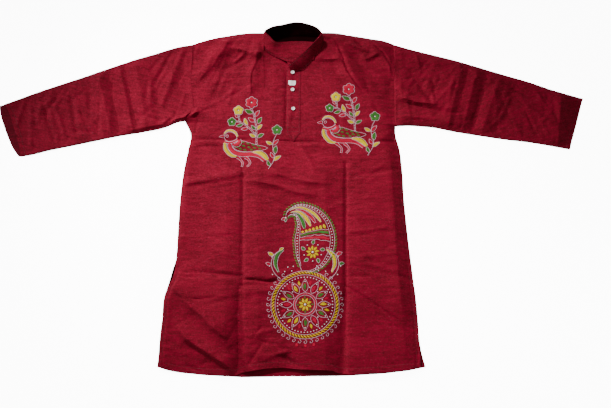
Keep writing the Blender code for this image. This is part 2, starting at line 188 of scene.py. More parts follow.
handloom = dict(
    color=(0.252, 0.0025, 0.0232), deep=(0.040, 0.0002, 0.0014), pale=(0.358, 0.042, 0.100),
    slub=(0.020, 0.0011), speck=(0.0036, 0.0020), streak=(0.034, 0.0068), patch=(0.12, 0.07), thread=0.0009,
    crossedShare=0.18, speckShare=0.44, streakShare=0.24, patchShare=0.14, nubShare=0.28,
    crumple=(0.052, 0.018), crumpleDepth=0.0027, threadDepth=0.00022, roughness=0.86, sheen=0.014,
)


# shade below 1 darkens every colour and the sheen, which makes the painted-shade copies of the cloth
def clothFinish(name, grain=0.0, shade=1.0, shine=0.09):
    look = handloom
    cloth = Finish(name, {
        "Metallic": 0.0, "Specular IOR Level": shine, "Sheen Weight": look["sheen"] * shade,
        "Sheen Roughness": 0.5, "Sheen Tint": (0.9, 0.45, 0.55, 1.0),
    })

    def woven(size, detail=2.0, turned=False, roughness=0.5):  # noise drawn out along the threads
        x, y = (1 / side for side in (size[::-1] if turned else size))
        return cloth.noise(cloth.place(grain, (x, y, 60.0)), detail=detail, roughness=roughness)

    dyedAndShaded = lambda name: (*[channel * shade for channel in look[name]], 1.0)
    weft, warp = woven(look["slub"]), woven(look["slub"], turned=True)
    specks = cloth.ramp(woven(look["speck"], 3.0, roughness=0.7), 0.38, 0.62)
    streaks = cloth.ramp(woven(look["streak"], 4.0, roughness=0.62), 0.37, 0.63)
    patches = cloth.ramp(woven(look["patch"], 3.0), 0.30, 0.70)
    crossed = cloth.ramp(weft * 0.6 + warp * 0.4, 0.36, 0.66)
    tone = crossed * look["crossedShare"] + specks * look["speckShare"]
    tone = tone + streaks * look["streakShare"] + patches * look["patchShare"]
    color = cloth.mix(tone, dyedAndShaded("deep"), dyedAndShaded("color"))
    nubs = cloth.ramp(woven((look["slub"][0] * 0.3, look["slub"][1] * 1.3), 1.0), 0.66, 0.76)
    cloth.shade("Base Color", cloth.mix(nubs * look["nubShare"], color, dyedAndShaded("pale")))
    cloth.shade("Roughness", look["roughness"] - crossed * 0.08)
    crumple = woven(look["crumple"], 5.0, roughness=0.58)
    threads = cloth.noise(cloth.place(grain, (0.4 / look["thread"], 1 / look["thread"], 300.0)), detail=1.0)
    soft = cloth.bump(crumple, look["crumpleDepth"], 0.8)
    cloth.shade("Normal", cloth.bump(threads * 0.6 + crossed * 0.4, look["threadDepth"], 0.7, soft))
    return cloth.material


plainLooks = {
    "label": dict(color=(0.76, 0.75, 0.73), roughness=0.75),
    "button": dict(color=(0.77, 0.76, 0.74), roughness=0.22, speck=0.08, bump=0.00003, size=0.003, coat=0.4),
    "thread.crimson": dict(color=(0.10, 0.003, 0.011), roughness=0.6, speck=0.3, bump=0.00005, size=0.0005),
}


def plainFinish(name, color, roughness, speck=0.15, bump=0.00008, size=0.0012, coat=0.0, shine=0.5):
    finish = Finish(name, {"Metallic": 0.0, "Coat Weight": coat, "Specular IOR Level": shine})
    grain = finish.noise(finish.place(), 1 / size, 3.0)
    finish.shade("Base Color", finish.mix(grain * speck, (*color, 1.0), (*[c * 0.6 for c in color], 1.0)))
    finish.shade("Roughness", roughness + grain * 0.1)
    finish.shade("Normal", finish.bump(grain, bump))
    return finish.material


def floorFinish():
    look = floorLook
    floor = Finish("floor", {"Roughness": look["roughness"], "Emission Strength": look["glow"]})
    tone = floor.noise(floor.place(), 3.0, 2.0) * 0.02 + 0.98
    floor.shade("Base Color", floor.mix(tone, (0.9, 0.9, 0.9, 1.0), (*look["color"], 1.0)))
    floor.shade("Emission Color", (1.0, 1.0, 1.0, 1.0))
    return floor.material


# Curves and grids

def hermite(knots, values, at):  # smooth values between knots, for numbers or for points
    knots, values = np.asarray(knots, float), np.asarray(values, float)
    at = np.clip(np.asarray(at, float), knots[0], knots[-1])
    slopes = np.gradient(values, knots, axis=0)
    cell = np.clip(np.searchsorted(knots, at, side="right") - 1, 0, len(knots) - 2)
    span = knots[cell + 1] - knots[cell]
    t = (at - knots[cell]) / span
    if values.ndim > 1:
        span, t = span[:, None], t[:, None]
    start = (2 * t**3 - 3 * t**2 + 1) * values[cell] + (t**3 - 2 * t**2 + t) * span * slopes[cell]
    end = (3 * t**2 - 2 * t**3) * values[cell + 1] + (t**3 - t**2) * span * slopes[cell + 1]
    return start + end


def travelled(points):  # length of a line up to each of its points
    steps = np.linalg.norm(np.diff(np.asarray(points, float), axis=0), axis=1)
    return np.concatenate([[0.0], np.cumsum(steps)])


def byLength(points):  # the same as a share of the whole
    lengths = travelled(points)
    return lengths / lengths[-1]


def along(points, at):  # places on a smooth line through the points
    return hermite(byLength(points), points, at)


def patch(left, right, low, high, shares, fade):  # plan of a panel inside four edges
    v = np.linspace(0, 1, len(left))[:, None, None]
    u = np.asarray(shares)[None, :, None]
    grid = (1 - u) * left[:, None, :] + u * right[:, None, :]
    return grid + (1 - v) ** fade * (low[None] - grid[:1]) + v**fade * (high[None] - grid[-1:])


def raised(plan, height):  # plan points at their heights
    height = np.broadcast_to(height, plan.shape[:-1])
    return np.concatenate([plan, height[..., None]], axis=-1)


def facing(grid, wrap=False):  # unit normals of a grid of points
    if wrap:
        across = np.roll(grid, -1, axis=1) - np.roll(grid, 1, axis=1)
    else:
        across = np.gradient(grid, axis=1)
    normal = np.cross(across, np.gradient(grid, axis=0))
    return normal / np.maximum(np.linalg.norm(normal, axis=-1, keepdims=True), 1e-9)


def smooth(t):
    t = np.clip(t, 0.0, 1.0)
    return t * t * (3 - 2 * t)


def unevenness(x, y, size, seed):  # smooth random heights between -1 and 1 on a lattice of this size
    cells, origin = 64, 4000.0
    lattice = np.random.default_rng(seed).uniform(-1, 1, (cells, cells))
    column, row = (x + origin) / size, (y + origin) / size
    i, j = np.floor(row).astype(int), np.floor(column).astype(int)
    v, u = smooth(row - i), smooth(column - j)
    corner = lambda a, b: lattice[(i + a) % cells, (j + b) % cells]
    low = (1 - u) * corner(0, 0) + u * corner(0, 1)
    high = (1 - u) * corner(1, 0) + u * corner(1, 1)
    return (1 - v) * low + v * high


def newPiece(name, points, faces, materials, sharp=40.0):
    mesh = bpy.data.meshes.new(name)
    mesh.from_pydata((np.asarray(points) * mm).tolist(), [], [list(map(int, face)) for face in faces])
    for material in materials:
        mesh.materials.append(material)
    mesh.shade_smooth()
    mesh.set_sharp_from_angle(angle=math.radians(sharp))
    return placed(name, mesh)


def shell(name, outer, thick, material, wrap=False, keep=None, shadeMaterial=None, skip=1):
    # closed sheet under its outer points, with every skip-th point on its inner side
    rows, columns = outer.shape[:2]
    inner = (outer - facing(outer, wrap) * thick)[::skip, ::skip]

    def cells(high, wide, kept):
        i, j = np.meshgrid(np.arange(high - 1), np.arange(wide if wrap else wide - 1), indexing="ij")
        i, j = (i.ravel(), j.ravel()) if kept is None else (i[kept], j[kept])
        k = (j + 1) % wide
        return np.stack([i * wide + j, i * wide + k, (i + 1) * wide + k, (i + 1) * wide + j], axis=1)

    wide = inner.shape[1]
    top = cells(rows, columns, keep)
    low = cells(*inner.shape[:2], None if keep is None else keep[::skip, ::skip])
    edges = np.concatenate([low[:, [n, (n + 1) % 4]] for n in range(4)])
    size = rows * columns
    rim = edges[~np.isin(edges[:, 0] * size + edges[:, 1], edges[:, 1] * size + edges[:, 0])]
    over = rim // wide * skip * columns + rim % wide * skip
    sides = [over[:, 1], over[:, 0], rim[:, 0] + size, rim[:, 1] + size]
    if skip == 2:
        sides.insert(1, over.sum(axis=1) // 2)
    groups = [top, low[:, ::-1] + size, np.stack(sides, axis=1)]
    used, order = np.unique(np.concatenate([group.ravel() for group in groups]), return_inverse=True)
    points = np.concatenate([outer.reshape(-1, 3), inner.reshape(-1, 3)])[used]
    faces, done = [], 0
    for group in groups:
        faces += order[done : done + group.size].reshape(group.shape).tolist()
        done += group.size
    thing = newPiece(name, points, faces, [material, shadeMaterial] if shadeMaterial else [material])
    # the inner faces take the second material, a darkened copy of the cloth that paints shade
    if shadeMaterial:
        inside = np.arange(len(faces))
        inside = (inside >= len(top)) & (inside < len(top) + len(low))
        thing.data.polygons.foreach_set("material_index", inside.astype(np.int32))
    return thing


# Creases: straight ones are round ridges or troughs, pleats have two flat flanks, and folds are bent. The
# tables of the pieces hold a row of numbers for each, in the order given here.

Crease = namedtuple("Crease", "x0 y0 x1 y1 spread height")
Pleat = namedtuple("Pleat", "x0 y0 height0 x1 y1 height1 left right")  # flanks left and right of the run
Fold = namedtuple("Fold", "height left right points")  # how fast it falls left and right of the run
creaseForm = dict(pastEnds=0.35, pleatEnd=60.0, pleatRound=0.03, foldRound=2.2, foldCrest=1.48, foldTaper=5.0)


def offLine(row, x, y):  # share of the line, distance to its left and distance past its ends
    run = np.array([row.x1 - row.x0, row.y1 - row.y0], float)
    length = np.linalg.norm(run)
    run /= length
    place = (x - row.x0) * run[0] + (y - row.y0) * run[1]
    off = (y - row.y0) * run[0] - (x - row.x0) * run[1]
    beyond = np.maximum(0.0, np.maximum(-place, place - length))
    return np.clip(place / length, 0, 1), off, beyond


def creaseHeight(creases, x, y):
    height = np.zeros_like(x)
    for row in map(Crease._make, creases):
        _, off, beyond = offLine(row, x, y)
        height += row.height * np.exp(-(off**2 + creaseForm["pastEnds"] * beyond**2) / row.spread**2)
    return height


def pleatHeight(pleats, x, y):
    height, crest = np.zeros_like(x), creaseForm["pleatRound"]
    for row in map(Pleat._make, pleats):
        share, off, beyond = offLine(row, x, y)
        width = np.where(off > 0, row.left, row.right)
        away = np.sqrt((off / width) ** 2 + (beyond / creaseForm["pleatEnd"]) ** 2 + crest**2) - crest
        height += (row.height0 + share * (row.height1 - row.height0)) * np.clip(1 - away, 0, 1)
    return height


def foldHeight(folds, x, y):
    height, look = np.zeros_like(x), creaseForm
    for row in map(Fold._make, folds):
        points = np.array(row.points, float)
        steps = np.diff(points, axis=0)
        lengths = np.linalg.norm(steps, axis=1)
        before = travelled(points)
        near, side, share = np.full(x.shape, np.inf), np.ones_like(x), np.zeros_like(x)
        for start, step, length, done in zip(points, steps, lengths, before):
            t = np.clip(((x - start[0]) * step[0] + (y - start[1]) * step[1]) / length**2, 0, 1)
            offX, offY = x - start[0] - t * step[0], y - start[1] - t * step[1]
            away = np.hypot(offX, offY)
            closer = away < near
            near = np.where(closer, away, near)
            side = np.where(closer, step[0] * offY - step[1] * offX, side)
            share = np.where(closer, (done + t * length) / before[-1], share)
        width = np.where(side > 0, row.left, row.right)
        taper = np.sqrt(np.clip(np.minimum(share, 1 - share) * look["foldTaper"], 0.04, 1))
        fallen = np.sqrt(near**2 + look["foldRound"]) - look["foldCrest"]
        height += row.height * taper * np.exp(-fallen / width)
    return height


def randomCreases(seed, count, box, slant, lengths, heights, spreads=(4.0, 7.0)):
    draw = np.random.default_rng(seed)
    rows = []
    for _ in range(count):
        x, y = draw.uniform(box[0], box[2]), draw.uniform(box[1], box[3])
        turn = math.radians(draw.uniform(*slant))
        reach = draw.uniform(*lengths) / 2
        height = draw.uniform(*heights) * draw.choice([-1, 1])
        runX, runY = reach * math.cos(turn), reach * math.sin(turn)
        rows.append((x - runX, y - runY, x + runX, y + runY, draw.uniform(*spreads), height))
    return rows


# Body: both panels share their plan

Side = namedtuple("Side", "y backLeft backRight frontLeft frontRight")
sides = [Side(*row) for row in [
    (-452, -329.0, 337.0, -324.0, 323.0),
    (-423, -327.0, 329.5, -325.0, 323.5),
    (-398, -326.0, 325.0, -325.0, 323.0),
    (-336, -322.0, 322.0, -321.0, 321.0),
    (-262, -315.0, 317.0, -313.5, 316.0),
    (-241, -309.0, 314.5, -302.5, 314.0),
    (-208, -301.0, 311.5, -294.5, 311.0),
    (-182, -293.5, 309.0, -293.0, 308.5),
    (-103, -291.0, 302.0, -291.0, 302.0),
    (-23, -289.0, 296.5, -289.0, 296.5),
    (59, -282.0, 294.0, -282.0, 294.0),
    (115, -273.0, 289.0, -273.0, 289.0),
    (160, -268.0, 279.0, -268.0, 279.0),
    (182, -277.0, 279.3, -277.0, 279.3),
    (196, -284.0, 279.5, -284.0, 279.5),
    (222, -268.5, 280.0, -268.5, 280.0),
    (301, -272.0, 282.0, -272.0, 282.0),
    (421, -271.0, 283.0, -271.0, 283.0),
]]
Hem = namedtuple("Hem", "x backY frontY")
hems = [Hem(*row) for row in [
    (-300, -461, -459),
    (-272, -466, -465),
    (-212, -472, -471),
    (-135, -476, -474),
    (-119, -477, -466),
    (-59, -476, -456),
    (-15, -475, -454),
    (23, -475, -458),
    (106, -474, -461),
    (116, -474, -466),
    (149, -473, -471),
    (233, -468, -466),
    (293, -461, -459),
]]
body = dict(
    low=-452.0, high=421.0, armpit=dict(left=196.0, right=181.0), fade=4,
    shoulderLeft=[(-271, 421), (-241, 432), (-208, 441), (-175, 447), (-142, 453), (-109, 456), (-76, 456)],
    shoulderRight=[(85, 457), (123, 456), (156, 450), (189, 444), (222, 438), (255, 432), (283, 421)],
    backNeck=[(-76, 456), (-62, 450), (-32, 455), (7, 457), (46, 455), (72, 450), (85, 457)],
    frontNeckLeft=[(-76, 456), (-79, 434), (-75, 411), (-60, 394), (-38, 384), (-9, 364), (5.5, 352)],
    frontNeckRight=[(8.5, 345), (31, 347), (52, 368), (69, 392), (83, 417), (87, 434), (85, 457)],
    neckShare=(0.365, 0.645), slitShare=(0.4975, 0.5025), slitTop=150.0,
    sideSlitTop=dict(left=-186.0, right=-196.0),
    fineShares=[(0.305, 0.012, 1.3), (0.722, 0.012, 1.3)], fineRows=[(140, 9, 1.2), (-236, 9, 1.2)],
)
back = dict(
    top=1.14, thick=1.15, hem=13.0, hemPucker=0.033, shoulder=30, neck=26, rows=130,
    paintedShadeBoxes=[(-68, 80, 402, 470), (-330, -285, -268, -184)],  # x and y ranges inside the neck and the slit whose top faces get painted shade, a near-black cloth where shadow falls
)
front = dict(
    base=2.8, thick=0.8, lowest=2.3, shoulder=84, neck=34, rows=324,
    puff=6.0, roll=(190.0, 42.0), hemPuff=0.55, hemRise=60.0,  # how the panel swells away from its edges
    relief=1.45, uneven=[(1.1, 74.0, 3), (0.35, 31.0, 4)], edgeFade=14.0, armRelief=0.4, slitRelief=0.6,
    sewnZ=1.85, sewn=0.9, seamReach=7.0, seamEnd=14.0, armTurn=12.0, slitEnd=10.0, hem=14.0, slitHem=9.0,
    length=900.0, topPuff=0.4, topDip=0.6, dipReach=5.0,
)

frontFolds = [
    # left shoulder
    (13.0, 18, 4.5, [(-164, 408), (-136, 400), (-116, 391), (-98, 387), (-76, 394)]),
    (4.6, 3, 12, [(-78, 393), (-92, 369), (-108, 326), (-110, 268)]),
    (-4.0, 2.4, 2.4, [(-76, 398), (-90, 370), (-106, 330), (-108, 290)]),
    (-2.2, 5, 5, [(-163, 417), (-133, 399), (-158, 371)]),
    (-2.6, 4, 4, [(-206, 369), (-248, 308)]),
    (5.5, 4, 20, [(-182, 405), (-191, 391), (-214, 355), (-251, 310)]),
    (-2.2, 4, 5, [(-186, 372), (-205, 336), (-226, 288)]),
    (7.0, 2.4, 9, [(-118, 386), (-98, 381), (-80, 388)]),
    (4.6, 3, 12, [(-130, 388), (-143, 376), (-158, 363)]),
    (-1.6, 4, 4, [(-180, 410), (-167, 421)]),
    (-2.4, 8, 8, [(-176, 385), (-162, 382)]),
    # right shoulder
    (8.0, 4, 30, [(199, 268), (168, 306), (149, 339), (141, 373), (127, 404), (106, 444), (94, 466)]),
    (-9.0, 2.8, 3, [(96, 464), (109, 440), (129, 404), (143, 373), (151, 339), (170, 306), (201, 268)]),
    (6.4, 14, 3, [(64, 378), (100, 373), (128, 374), (142, 367)]),
    (7.4, 14, 3, [(145, 421), (189, 404), (213, 395)]),
    (6.5, 12, 3, [(190, 384), (205, 374), (219, 380), (240, 391)]),
    (4.0, 12, 3, [(120, 405), (146, 392), (164, 378)]),
    (7.0, 4, 26, [(274, 330), (268, 358), (249, 391), (232, 408), (206, 430)]),
    (-8.5, 2.8, 3, [(210, 430), (234, 408), (251, 391), (270, 358), (276, 330)]),
    (-4.0, 2.8, 2.8, [(88, 444), (104, 428), (112, 412)]),
    (-5.0, 3, 3, [(84, 437), (96, 434), (110, 433)]),
    (-4.5, 2.8, 2.8, [(128, 392), (149, 350), (163, 321)]),
    (-6.0, 3.2, 3.2, [(172, 432), (196, 409)]),
    (-1.6, 4, 4, [(257, 388), (287, 397)]),
    (-2.6, 7, 7, [(291, 323), (263, 297)]),
    (-2.4, 4, 4, [(236, 262), (266, 254), (300, 244)]),
    # left armpit
    (-1.4, 3, 3, [(-249, 205), (-254, 176), (-265, 145)]),
    (10.0, 14, 3, [(-296, 196), (-272, 208), (-246, 222)]),
    # across the middle
    (-2.0, 2.2, 4, [(-266, 142), (-221, 143), (-127, 141), (-75, 140), (-32, 139), (22, 137), (120, 135),
                    (200, 134), (284, 133)]),
    (-1.8, 2.2, 4, [(-90, 140), (-30, 139), (24, 137), (60, 136)]),
    (-3.2, 2.4, 2.4, [(-14, 342), (-14, 250), (-14, 158)]),  # beside the placket
    (-1.7, 8, 8, [(-255, 125), (-180, 125)]),
    (3.6, 22, 9, [(-272, 22), (-210, 26), (-126, 35)]),
    (6.5, 20, 5, [(-124, 27), (-78, 22), (-32, 12), (10, -5), (70, -14)]),
    (5.5, 18, 5, [(-70, 52), (-22, 41), (33, 24), (97, 17)]),
    (-1.4, 6, 6, [(-184, 72), (-152, 68)]),
    (-1.5, 4, 4, [(155, 28), (182, 15), (202, 22)]),
    (-1.4, 4, 4, [(103, -24), (139, -27), (155, -31), (197, -23)]),
    (-1.8, 5, 5, [(153, -224), (206, -224)]),
    # left corner
    (20.5, 42, 14, [(-318, -222), (-302, -246), (-288, -264), (-268, -283), (-249, -304), (-216, -330),
                    (-193, -355), (-173, -372), (-150, -384)]),
    (18.0, 30, 10, [(-282, -345), (-273, -362), (-257, -383), (-238, -397), (-214, -412), (-191, -427),
                    (-166, -443), (-135, -470)]),
    (-5.0, 4, 6, [(-250, -398), (-220, -416), (-197, -430), (-170, -447), (-146, -462)]),
    (-5.0, 16, 7, [(-150, -402), (-140, -418), (-135, -438), (-134, -470)]),
    (-3.0, 2.6, 3, [(-300, -273), (-286, -275), (-265, -285), (-238, -285), (-218, -284), (-188, -280)]),
    (-2.4, 3, 6, [(-262, -447), (-240, -456), (-214, -466)]),
    (11.0, 5, 26, [(-323, -470), (-322, -402), (-316, -300), (-309, -262)]),
    # pressed down the left and the right
    (-1.4, 4, 5, [(-126, 45), (-126, -77), (-126, -183), (-128, -260)]),
    (-8.0, 5, 9, [(-129, -250), (-131, -303), (-130, -361), (-127, -420), (-124, -500)]),
    (-1.3, 6, 5, [(145, 58), (144, -24), (142, -157), (138, -286)]),
    (-11.0, 5, 22, [(140, -262), (136, -320), (134, -380), (131, -440), (128, -500)]),
    # towards the hem
    (-4.6, 3.5, 3.5, [(-126, -233), (-97, -235), (-64, -240), (-32, -238)]),
    (3.6, 14, 4, [(-122, -227), (-64, -233), (-30, -233)]),
    (-1.7, 3, 3, [(-297, -214), (-217, -216), (-128, -224)]),
    (-4.6, 2.4, 2.4, [(137, -247), (222, -302), (306, -360)]),
    (-1.6, 9, 9, [(146, -222), (216, -232), (297, -227)]),
    (-3.0, 3.4, 3.4, [(-85, -384), (-70, -389), (-54, -396)]),
    (-2.8, 3, 3, [(-68, -394), (-85, -421), (-105, -452)]),
    (-2.2, 3, 3, [(-92, -379), (-69, -352)]),
    (2.2, 9, 5, [(-91, -432), (-48, -423), (-5, -415)]),
    (-2.4, 4, 4, [(-18, -425), (20, -447)]),
    # rolls down to the right side, rises to the right corner, rolls down to the left side
    (9.5, 70, 24, [(283, -330), (274, -220), (270, -120), (266, 20), (262, 130)]),
    (9.0, 120, 60, [(190, -550), (300, -490), (370, -400)]),
    (2.0, 50, 18, [(-268, 100), (-276, -20), (-281, -150)]),
]

frontPleats = [
    (-168, 60, 2.2, -160, -470, 3.4, 40, 70),  # both sides of the pressed crease down the left
    (-88, 60, 2.4, -78, -470, 3.6, 70, 42),
    (92, 50, 2.6, 86, -470, 5.6, 52, 80),  # both sides of the pressed crease down the right
    (178, 60, 1.4, 168, -470, 1.8, 70, 60),
    (-40, 410, 2.2, -60, 60, 1.4, 60, 40),
    (-252, 330, 2.5, -205, 392, 4.0, 30, 26),  # left shoulder
    (-226, 280, 2.2, -176, 424, 5.5, 34, 22),
    (-92, 392, 4.6, -108, 275, 2.0, 34, 26),
    (112, 440, 4.8, 162, 322, 3.0, 36, 24),  # right shoulder
    (160, 327, 3.2, 206, 262, 1.5, 40, 26),
    (214, 430, 4.4, 275, 340, 2.6, 30, 24),
    (-255, 170, 2.6, -180, 120, 1.4, 30, 24),  # pulls from the armpits
    (262, 160, 2.8, 190, 104, 1.2, 24, 30),
    (142, -250, 0.6, 312, -356, 0.9, 36, 30),
    (-285, -120, 1.8, -150, -160, 1.2, 30, 44),
    (180, -60, 1.6, 292, -96, 2.2, 44, 28),
]
frontCreases = [
    (-126, 62, -117, -462, 5, -1.5),  # the two pressed creases themselves
    (145, 73, 137, -462, 5, -1.9),
    (-269, 144, -40, 144, 5, -1.5),  # creases across
    (-250, 134, -60, 135, 11, 1.6),
    (226, 137, 291, 137, 5, -1.5),
    (-263, -226, -120, -226, 5, -1.6),
    (-120, -250, 25, -244, 6, -1.7),
    (-110, -262, 20, -257, 12, 2.2),
    (-275, 12, -128, 37, 6, -1.6),
    (-262, 24, -140, 47, 12, 1.8),
    (-243, -214, -128, -223, 6, -1.2),
    (-87, -231, -40, -236, 5, -1.2),
    (-55, -430, -10, -416, 6, 1.6),
    (-22, -428, 21, -449, 6, -1.5),
    (-95, -376, -49, -362, 5, 1.2),
    (160, -200, 300, -230, 7, -1.4),
    (170, 40, 280, 60, 7, -1.3),
    (30, 120, 60, 60, 7, 1.2),
    (155, -110, 240, -100, 6, 1.3),
]
frontCrumple = [  # small creases strewn over the panel and over each shoulder
    dict(seed=11, count=110, box=(-270, -440, 300, 400), slant=(-38, 32), lengths=(24, 90),
         heights=(0.3, 0.85)),
    dict(seed=13, count=22, box=(-260, 180, -110, 430), slant=(-30, 80), lengths=(20, 70),
         heights=(0.5, 1.2)),
    dict(seed=14, count=22, box=(110, 180, 275, 430), slant=(-80, 20), lengths=(20, 70),
         heights=(0.5, 1.2)),
]
for strewn in frontCrumple:
    frontCreases += randomCreases(**strewn)


def sideX(column, y):
    return hermite([row.y for row in sides], [getattr(row, column) for row in sides], y)


def hemY(column, x, low=-330.0, high=337.0):
    places = [low] + [row.x for row in hems] + [high]
    return np.interp(x, places, [body["low"]] + [getattr(row, column) for row in hems] + [body["low"]])


def spaced(low, high, count, fine):  # count steps, closer together beside each place in fine
    at = np.linspace(low, high, 2000)
    density = 1 + sum(more * np.exp(-((at - place) / reach) ** 2) for place, reach, more in fine)
    share = np.concatenate([[0.0], np.cumsum(density[1:] + density[:-1])])
    return np.interp(np.linspace(0, share[-1], count + 1), share, at)


# the panel's high edge, and the share of the width at each of its points
def shoulderAndNeck(neckRuns, shoulderCells, neckCells):
    slit = body["slitShare"] if len(neckRuns) > 1 else ()
    bounds = [0.0, body["neckShare"][0], *slit, body["neckShare"][1], 1.0]
    spans = [bounds[:2], *(bounds[1:-1][i : i + 2] for i in range(0, 2 * len(neckRuns), 2)), bounds[-2:]]
    points, shares = [], []
    counts = [shoulderCells, *([neckCells] * len(neckRuns)), shoulderCells]
    for run, span, count in zip([body["shoulderLeft"], *neckRuns, body["shoulderRight"]], spans, counts):
        at = spaced(*span, count, body["fineShares"])
        if len(neckRuns) > 1 and span[0] == slit[1]:  # a point inside the slit
            points.append((points[-1] + np.array(run[0])) / 2)
            shares.append(sum(slit) / 2)
        for share, point in zip(at, along(run, (at - span[0]) / (span[1] - span[0]))):
            if not shares or share > shares[-1] + 1e-9:
                points.append(point)
                shares.append(share)
    return np.array(points), np.array(shares)


def bodyPlan(panel, neckRuns, cells):
    high, shares = shoulderAndNeck(neckRuns, cells["shoulder"], cells["neck"])
    y = spaced(body["low"], body["high"], cells["rows"], body["fineRows"])
    left, right = (np.stack([sideX(panel + side, y), y], axis=-1) for side in ("Left", "Right"))
    ends = left[0, 0], right[0, 0]
    x = ends[0] + shares * (ends[1] - ends[0])
    low = np.stack([x, hemY(panel + "Y", x, *ends)], axis=-1)
    return patch(left, right, low, high, shares, body["fade"]), shares


def hemForm(distance, hem):  # the turned-up hem is thicker, and its stitches pull the cloth in
    return 0.45 * smooth((hem + 3 - distance) / 3) - 0.7 * np.exp(-((distance - hem) / 1.8) ** 2)


hemWaves = dict(reach=9.0, wave=9.0, height=0.35)
stripWaves = dict(reach=6.0, wave=8.0)


def pucker(distance, run, reach=11.0, wave=11.0, height=0.55):  # small waves beside a seam
    bend = 2 * np.pi * (run / wave + 0.35 * np.sin(run / 23.0) + 0.2 * np.sin(run / 9.7 + 1.0))
    return height * np.sin(bend) * np.exp(-np.abs(distance) / reach)


def makeBack(material, shadeMaterial):
    plan, _ = bodyPlan("back", [body["backNeck"]], back)
    x, y = plan[..., 0], plan[..., 1]
    fromHem = y - hemY("backY", x)
    height = back["top"] + pucker(fromHem - back["hem"], x, height=back["hemPucker"])
    thing = shell("back", raised(plan, height), back["thick"], material)
    thing.data.materials.append(shadeMaterial)
    for face in thing.data.polygons:  # painted shade: near-black cloth on the top faces inside the neck and the slit
        x, y = face.center.xy / mm
        if face.normal.z > 0.5 and any(box[0] < x < box[1] and box[2] < y < box[3] for box in back["paintedShadeBoxes"]):
            face.material_index = 1
    return thing


def frontHeight(x, y, rows):
    look = front
    left, right = x - sideX("frontLeft", y), sideX("frontRight", y) - x
    fromHem = y - hemY("frontY", x)
    risen = look["hemPuff"] + (1 - look["hemPuff"]) * smooth(fromHem / look["hemRise"])
    overArmpit = [y - body["armpit"][side] for side in ("left", "right")]
    atArm = [smooth((up + look["armTurn"] / 2) / look["armTurn"]) for up in overArmpit]
    sideways = np.ones_like(x)
    for distance, arm, reach in zip((left, right), atArm, look["roll"]):
        sideways *= 0.5 * arm + (1 - 0.5 * arm) * smooth(distance / reach)
    top = look["topPuff"] + (1 - look["topPuff"]) * smooth((1 - rows) * 5.0)
    top = top * smooth((1 - rows) * 110.0)
    height = look["base"] + look["puff"] * sideways * top * risen
    relief = pleatHeight(frontPleats, x, y) + creaseHeight(frontCreases, x, y)
    for share, size, seed in look["uneven"]:
        relief += share * unevenness(x, y, size, seed)
    relief = look["relief"] * relief + foldHeight(frontFolds, x, y)
    # 0 beside a slit and 1 where the side is closed
    closed = [smooth((y - body["sideSlitTop"][side]) / look["slitEnd"]) for side in ("left", "right")]
    for distance, arm, shut in zip((left, right), atArm, closed):
        least = 0.12 + look["armRelief"] * arm + look["slitRelief"] * (1 - shut)
        relief = relief * np.clip(distance / look["edgeFade"], least, 1)
    height += relief * np.clip((1 - rows) * 45.0, 0, 1)
    # above its slits the side is sewn down to the back, and below them it is hemmed
    for distance, up, shut in zip((left, right), overArmpit, closed):
        sewn = shut * (1 - smooth((up + look["seamEnd"]) / look["seamEnd"]))
        sewn = sewn * (height - look["sewnZ"])
        height -= sewn * (1 - smooth(distance / look["seamReach"])) * look["sewn"]
        height += pucker(distance, y) * shut
        height += hemForm(distance, look["slitHem"]) * (1 - shut)
    height += hemForm(fromHem, look["hem"]) + pucker(fromHem - look["hem"], x, **hemWaves)
    height -= look["topDip"] * np.exp(-((1 - rows) * look["length"] / look["dipReach"]) ** 2)
    return look["lowest"] + np.logaddexp(0.0, (height - look["lowest"]) * 3.0) / 3.0


def makeFront(material):
    plan, shares = bodyPlan("front", [body["frontNeckLeft"], body["frontNeckRight"]], front)
    rows = np.linspace(0, 1, len(plan))[:, None] * np.ones(len(shares))
    height = frontHeight(plan[..., 0], plan[..., 1], rows)
    keep = np.ones((len(plan) - 1, len(shares) - 1), bool)
    slit = front["shoulder"] + front["neck"]
    first = np.argmax(plan[:, slit, 1] > body["slitTop"]) // 2 * 2
    keep[first:, slit : slit + 2] = False
    return shell("front", raised(plan, height), front["thick"], material, keep=keep, skip=2)


# Sleeves: flattened tubes, with a top layer and an under layer that turn into each other

